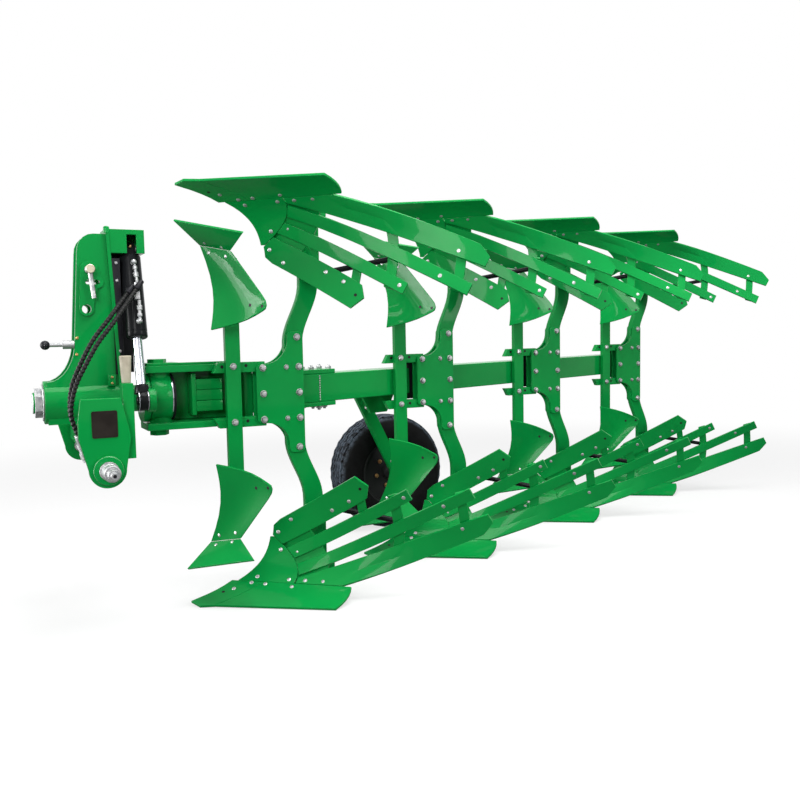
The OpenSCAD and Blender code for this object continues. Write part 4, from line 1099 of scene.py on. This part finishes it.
@dataclass
class WheelArm(Assembly):
    """The arm that sets the working depth."""

    shapes: tuple[Shape, ...] = (Shape(G, 2.5, ("wheel_arm",)),)
    ride: Ride = Ride.ARM
    trim: tuple[Row, ...] = (
        Row("spindle_nut", Z, ((WHEEL[0], -606, WHEEL[2]),), NEAR, partial(Hardware.stud_nut, radius=20)),
        Row(
            "arm_bolts", Z, ((-1366, -606, -82), (-1400, -606, -150), (-1542, -606, -440)),
            NEAR, partial(Hardware.cap_bolt, radius=12),
        ),
    )


@dataclass
class DepthWheel(Assembly):
    """Rim and tyre of the depth wheel."""

    shapes: tuple[Shape, ...] = (Shape(Finish.RIM, 2, ("wheel_rim",)),)
    ride: Ride = Ride.WHEEL
    trim: tuple[Row, ...] = (
        Row("rim_ring", Finish.RIM, (WHEEL,), NEAR, partial(Bench.turned, sides=64, profile=(
            (160, 68), (171, 70), (174, 75), (171, 79), (166, 76), (160, 68),
        ))),
        Row("rim_line", Finish.RIM, (WHEEL,), NEAR, partial(Bench.turned, sides=64, profile=(
            (168.5, 78), (171.5, 79.5), (171.5, 81), (168.5, 79.5), (168.5, 78),
        ))),
        Row("hub_cap", Finish.RIM, (WHEEL,), NEAR, partial(Bench.turned, sides=28, profile=(
            (45, 54), (45, 60), (38, 70), (24, 76), (22.5, 76),
        ))),
    )
    half_wall: Profile = (
        (166, 74), (172, 80), (200, 90), (236, 91.5), (262, 88), (280, 79), (289, 66),
    )
    bar: Point = (14, 50.5, 19)
    bar_lift: float = 9.0
    bar_shift: float = -4.5
    bars: int = 38
    ribs: tuple[float, ...] = (-54, -27, 0, 27, 54)
    crown: float = 292.5
    crown_fall: float = 0.04
    crown_tilt: float = 0.16
    nuts: int = 6
    nut_seat: Point = (77, 0, 30)
    nut_turn: float = 0.25

    def build(self) -> None:
        """Add the trim, the ribbed tyre and the wheel nuts."""
        super().build()
        axle = aim(at(*WHEEL), NEAR)
        far = [(r, -y) for r, y in self.half_wall]
        wall = [*far, *reversed(self.half_wall), far[0]]
        carcass = Bench.stamp("tyre", Bench.turned("tyre", wall, sides=76), [axle])
        bar = Bench.block("tyre_bar", self.bar)
        with Bench.editing(bar, "VERT"):
            bpy.ops.mesh.bisect(plane_co=(0, 0, 0), plane_no=NEAR)
            bpy.ops.transform.translate(value=(0, 0, self.bar_lift * MM))
        turns = []
        for rib in self.ribs:
            tilt = Matrix.Rotation(math.radians(-rib * self.crown_tilt), 4, "Y")
            reach = self.crown - abs(rib) * self.crown_fall
            seat = Matrix.Translation(Vector((reach, 0, rib + self.bar_shift)) * MM) @ tilt
            for n in range(self.bars):
                turns.append(axle @ Matrix.Rotation(math.tau * n / self.bars, 4, "Z") @ seat)
        tread = Bench.stamp("tyre_tread", bar, turns)
        self.fit(Bench.join("tyre_dressed", (carcass, tread)), Finish.TYRE, "wheel_tyre")
        seat = Matrix.Translation(Vector(self.nut_seat) * MM)
        angles = [math.tau * (n + self.nut_turn) / self.nuts for n in range(self.nuts)]
        ranks = [axle @ Matrix.Rotation(angle, 4, "Z") @ seat for angle in angles]
        self.put(Hardware.stud_nut("wheel_nuts", radius=12), Finish.BRASS, *ranks)


@dataclass
class Hoses(Assembly):
    """The two pressure hoses that hang from the ram's ports."""

    ride: Ride = Ride.HEADSTOCK
    names: tuple[str, str] = ("hose_front", "hose_rear")
    core: float = 6.6
    ridge: float = 2.2
    pitch: float = 15.0
    sharpness: float = 1.5
    sides: int = 14
    across: Point = (0.8, 0, 0.6)
    path_steps: int = 24
    tube_steps: int = 340
    held_from: int = 200
    crimp: Profile = (
        (10.4, 0.3), (12, 2), (12, 26), (11, 28), (14.8, 29), (14.8, 46), (12.5, 47),
        (12.5, 62), (14.8, 63), (14.8, 82), (12, 84), (12, 94),
    )

    def tube(self, name: str, path: Sequence[Vector]) -> Piece:
        """Return a hose in its spiral guard, laid along a path.

        Args:
            name: the new piece's name.
            path: closely set points of its middle line, in metres.

        Returns:
            The tube as a mesh object.
        """
        verts: list[Vector] = []
        faces: list[tuple[int, ...]] = []
        run = 0.0
        for i, point in enumerate(path):
            ahead = (path[min(i + 1, len(path) - 1)] - path[max(i - 1, 0)]).normalized()
            side = ahead.cross(Vector(self.across)).normalized()
            other = ahead.cross(side)
            run += (point - path[i - 1]).length / MM if i else 0.0
            for j in range(self.sides):
                turn = math.tau * j / self.sides
                wave = 0.5 + 0.5 * math.cos(math.tau * run / self.pitch - turn)
                reach = (self.core + self.ridge * wave ** self.sharpness) * MM
                verts.append(point + (side * math.cos(turn) + other * math.sin(turn)) * reach)
        n = self.sides
        for i in range(len(path) - 1):
            for j in range(n):
                k = (j + 1) % n
                faces.append((i * n + j, (i + 1) * n + j, (i + 1) * n + k, i * n + k))
        last = (len(path) - 1) * n
        faces += [tuple(range(n)), tuple(last + j for j in reversed(range(n)))]
        mesh = bpy.data.meshes.new(name)
        mesh.from_pydata(verts, [], faces)
        piece = bpy.data.objects.new(name, mesh)
        bpy.context.scene.collection.objects.link(piece)
        with Bench.editing(piece):
            bpy.ops.mesh.normals_make_consistent(inside=False)
        return piece

    def build(self) -> None:
        """Lay both hoses and end them in their couplers."""
        for k, node in enumerate(self.names):
            route = HoseRun.path(k, self.path_steps)
            fine = HoseRun.path(k, self.tube_steps)
            end = aim(fine[-1], fine[-1] - fine[-2])
            stands_for = ("hose_couplers",) if k == 0 else ()
            coupler = self.put(Bench.turned(f"{node}_end", self.crimp, sides=16), Z, end, nodes=stands_for)
            piece = self.tube(f"{node}_guarded", fine)
            Bench.only(piece)
            bpy.ops.object.shade_smooth_by_angle(angle=math.radians(60))
            self.shop.coat(piece, Finish.HOSE)
            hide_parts(node)
            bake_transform(piece)
            length = sum((b - a).length for a, b in zip(fine, fine[1:]))


@dataclass(frozen=True)
class Lamp:
    """A soft round lamp; a card shows only as a glint on glossy paint."""

    name: str
    place: Point
    target: Point
    size: float
    power: float
    card: bool = False

    def hang(self) -> None:
        """Add the lamp to the scene."""
        data = bpy.data.lights.new(self.name, "AREA")
        data.shape = "DISK"
        data.size = self.size
        data.energy = self.power
        lamp = bpy.data.objects.new(self.name, data)
        lamp.location = self.place
        beam = Vector(self.target) - Vector(self.place)
        lamp.rotation_euler = beam.to_track_quat("-Z", "Y").to_euler()
        lamp.visible_diffuse = not self.card
        bpy.context.scene.collection.objects.link(lamp)


@dataclass
class Studio:
    """Camera, floor and light."""

    eye: Point = (2.2733, 3.5104, 1.0402)
    yaw: float = -116.997
    pitch: float = 4.644
    roll: float = -1.110
    lens: float = 38.04
    floor_reach: float = 9.0
    floor_lift: float = 0.70
    floor_fade: tuple[float, float] = (2.4, 6.0)
    floor_tones: tuple[Colour, Colour] = ((0.30, 0.30, 0.30), (0.32, 0.32, 0.32))
    white: Colour = (1.0, 1.0, 1.0)
    sky: Colour = (0.95, 0.97, 1.0)
    sky_power: float = 0.11
    lamps: tuple[Lamp, ...] = (
        Lamp("overhead", (0.6, 0.8, 4.6), (0.0, 0.0, 0.6), 3.6, 250.0),
        Lamp("front", (3.6, 3.8, 2.6), (0.2, 0.0, 0.7), 2.2, 112.0),
        Lamp("left", (-2.4, 4.2, 2.2), (-0.4, -0.4, 0.7), 2.2, 84.0),
        Lamp("bow", (7.0, -1.6, 1.6), (0.0, 0.0, 1.0), 2.8, 170.0),
        Lamp("card", (6.4, -0.9, 1.4), (1.3, 0.5, 1.1), 4.2, 480.0, True),
    )

    def camera(self) -> None:
        """Set the camera at the photograph's viewpoint."""
        yaw = Matrix.Rotation(math.radians(self.yaw - 90.0), 4, "Z")
        pitch = Matrix.Rotation(math.radians(90.0 - self.pitch), 4, "X")
        roll = Matrix.Rotation(math.radians(self.roll), 4, "Z")
        data = bpy.data.cameras.new("camera")
        data.lens = self.lens
        data.sensor_width = 36.0
        data.clip_end = 100.0
        camera = bpy.data.objects.new("camera", data)
        camera.matrix_world = Matrix.Translation(self.eye) @ yaw @ pitch @ roll
        bpy.context.scene.collection.objects.link(camera)
        bpy.context.scene.camera = camera

    def floor(self) -> None:
        """Lay a pale floor that fades to white away from the plough."""
        bpy.ops.mesh.primitive_circle_add(vertices=96, radius=self.floor_reach, fill_type="NGON")
        plane = bpy.context.object
        plane.name = "floor"
        g = Graph.of("pale_floor")
        camera_ray = g.add("ShaderNodeLightPath", output="Is Camera Ray")
        reach = g.add("ShaderNodeVectorMath", {"operation": "LENGTH"}, {0: g.place()}, "Value")
        away = reach.spread(*self.floor_fade)
        speck = g.noise(30.0, 4.0).spread(0.3, 0.7)
        tone = g.tint(speck, *(opaque(grey) for grey in self.floor_tones))
        matt = g.add("ShaderNodeBsdfDiffuse", None, {"Color": tone})
        lift = self.glow(g, self.floor_lift)
        shown = g.add("ShaderNodeMixShader", None, {0: camera_ray, 1: self.glow(g, 0.0), 2: lift})
        pale = g.add("ShaderNodeAddShader", None, {0: matt, 1: shown})
        sockets = {0: away * camera_ray, 1: pale, 2: self.glow(g, 1.0)}
        g.close(g.add("ShaderNodeMixShader", None, sockets))
        plane.data.materials.append(g.owner)

    def glow(self, g: Graph, power: float) -> Wire:
        """Return a white emission of that strength."""
        return g.add("ShaderNodeEmission", None, {"Color": opaque(self.white), "Strength": power})

    def light(self) -> None:
        """Hang soft lamps and a surround that is seen and mirrored as white."""
        for lamp in self.lamps:
            lamp.hang()
        world = bpy.data.worlds.new("surround")
        bpy.context.scene.world = world
        g = Graph(world)
        rays = ("Is Camera Ray", "Is Glossy Ray", "Is Transmission Ray")
        camera, glossy, through = (g.add("ShaderNodeLightPath", output=ray) for ray in rays)
        clamped = {"operation": "ADD", "use_clamp": True}
        seen = g.add("ShaderNodeMath", clamped, {0: camera + glossy, 1: through})
        sky = {"Color": opaque(self.sky), "Strength": self.sky_power}
        soft = g.add("ShaderNodeBackground", None, sky)
        white = g.add("ShaderNodeBackground", None, {"Color": opaque(self.white), "Strength": 1.0})
        mixed = g.add("ShaderNodeMixShader", None, {0: seen, 1: soft, 2: white})
        g.close(mixed, "ShaderNodeOutputWorld")
        bpy.context.scene.view_settings.view_transform = "Standard"


def main() -> None:
    """Build the studio and every sub-assembly."""
    logging.basicConfig(level=logging.INFO, format="%(name)s: %(message)s")
    studio = Studio()
    studio.camera()
    shop = Paintshop()
    parts: tuple[Assembly, ...] = (
        Hoses(shop),
        Headstock(shop),
        TurnoverCylinder(shop),
        CylinderRod(shop),
        TurningFrame(shop),
        PloughBodies(shop),
        Skimmers(shop),
        WheelArm(shop),
        DepthWheel(shop),
    )
    for part in parts:
        part.dress()
        part.build()
    studio.floor()
    studio.light()


if __name__ == "__main__":
    main()
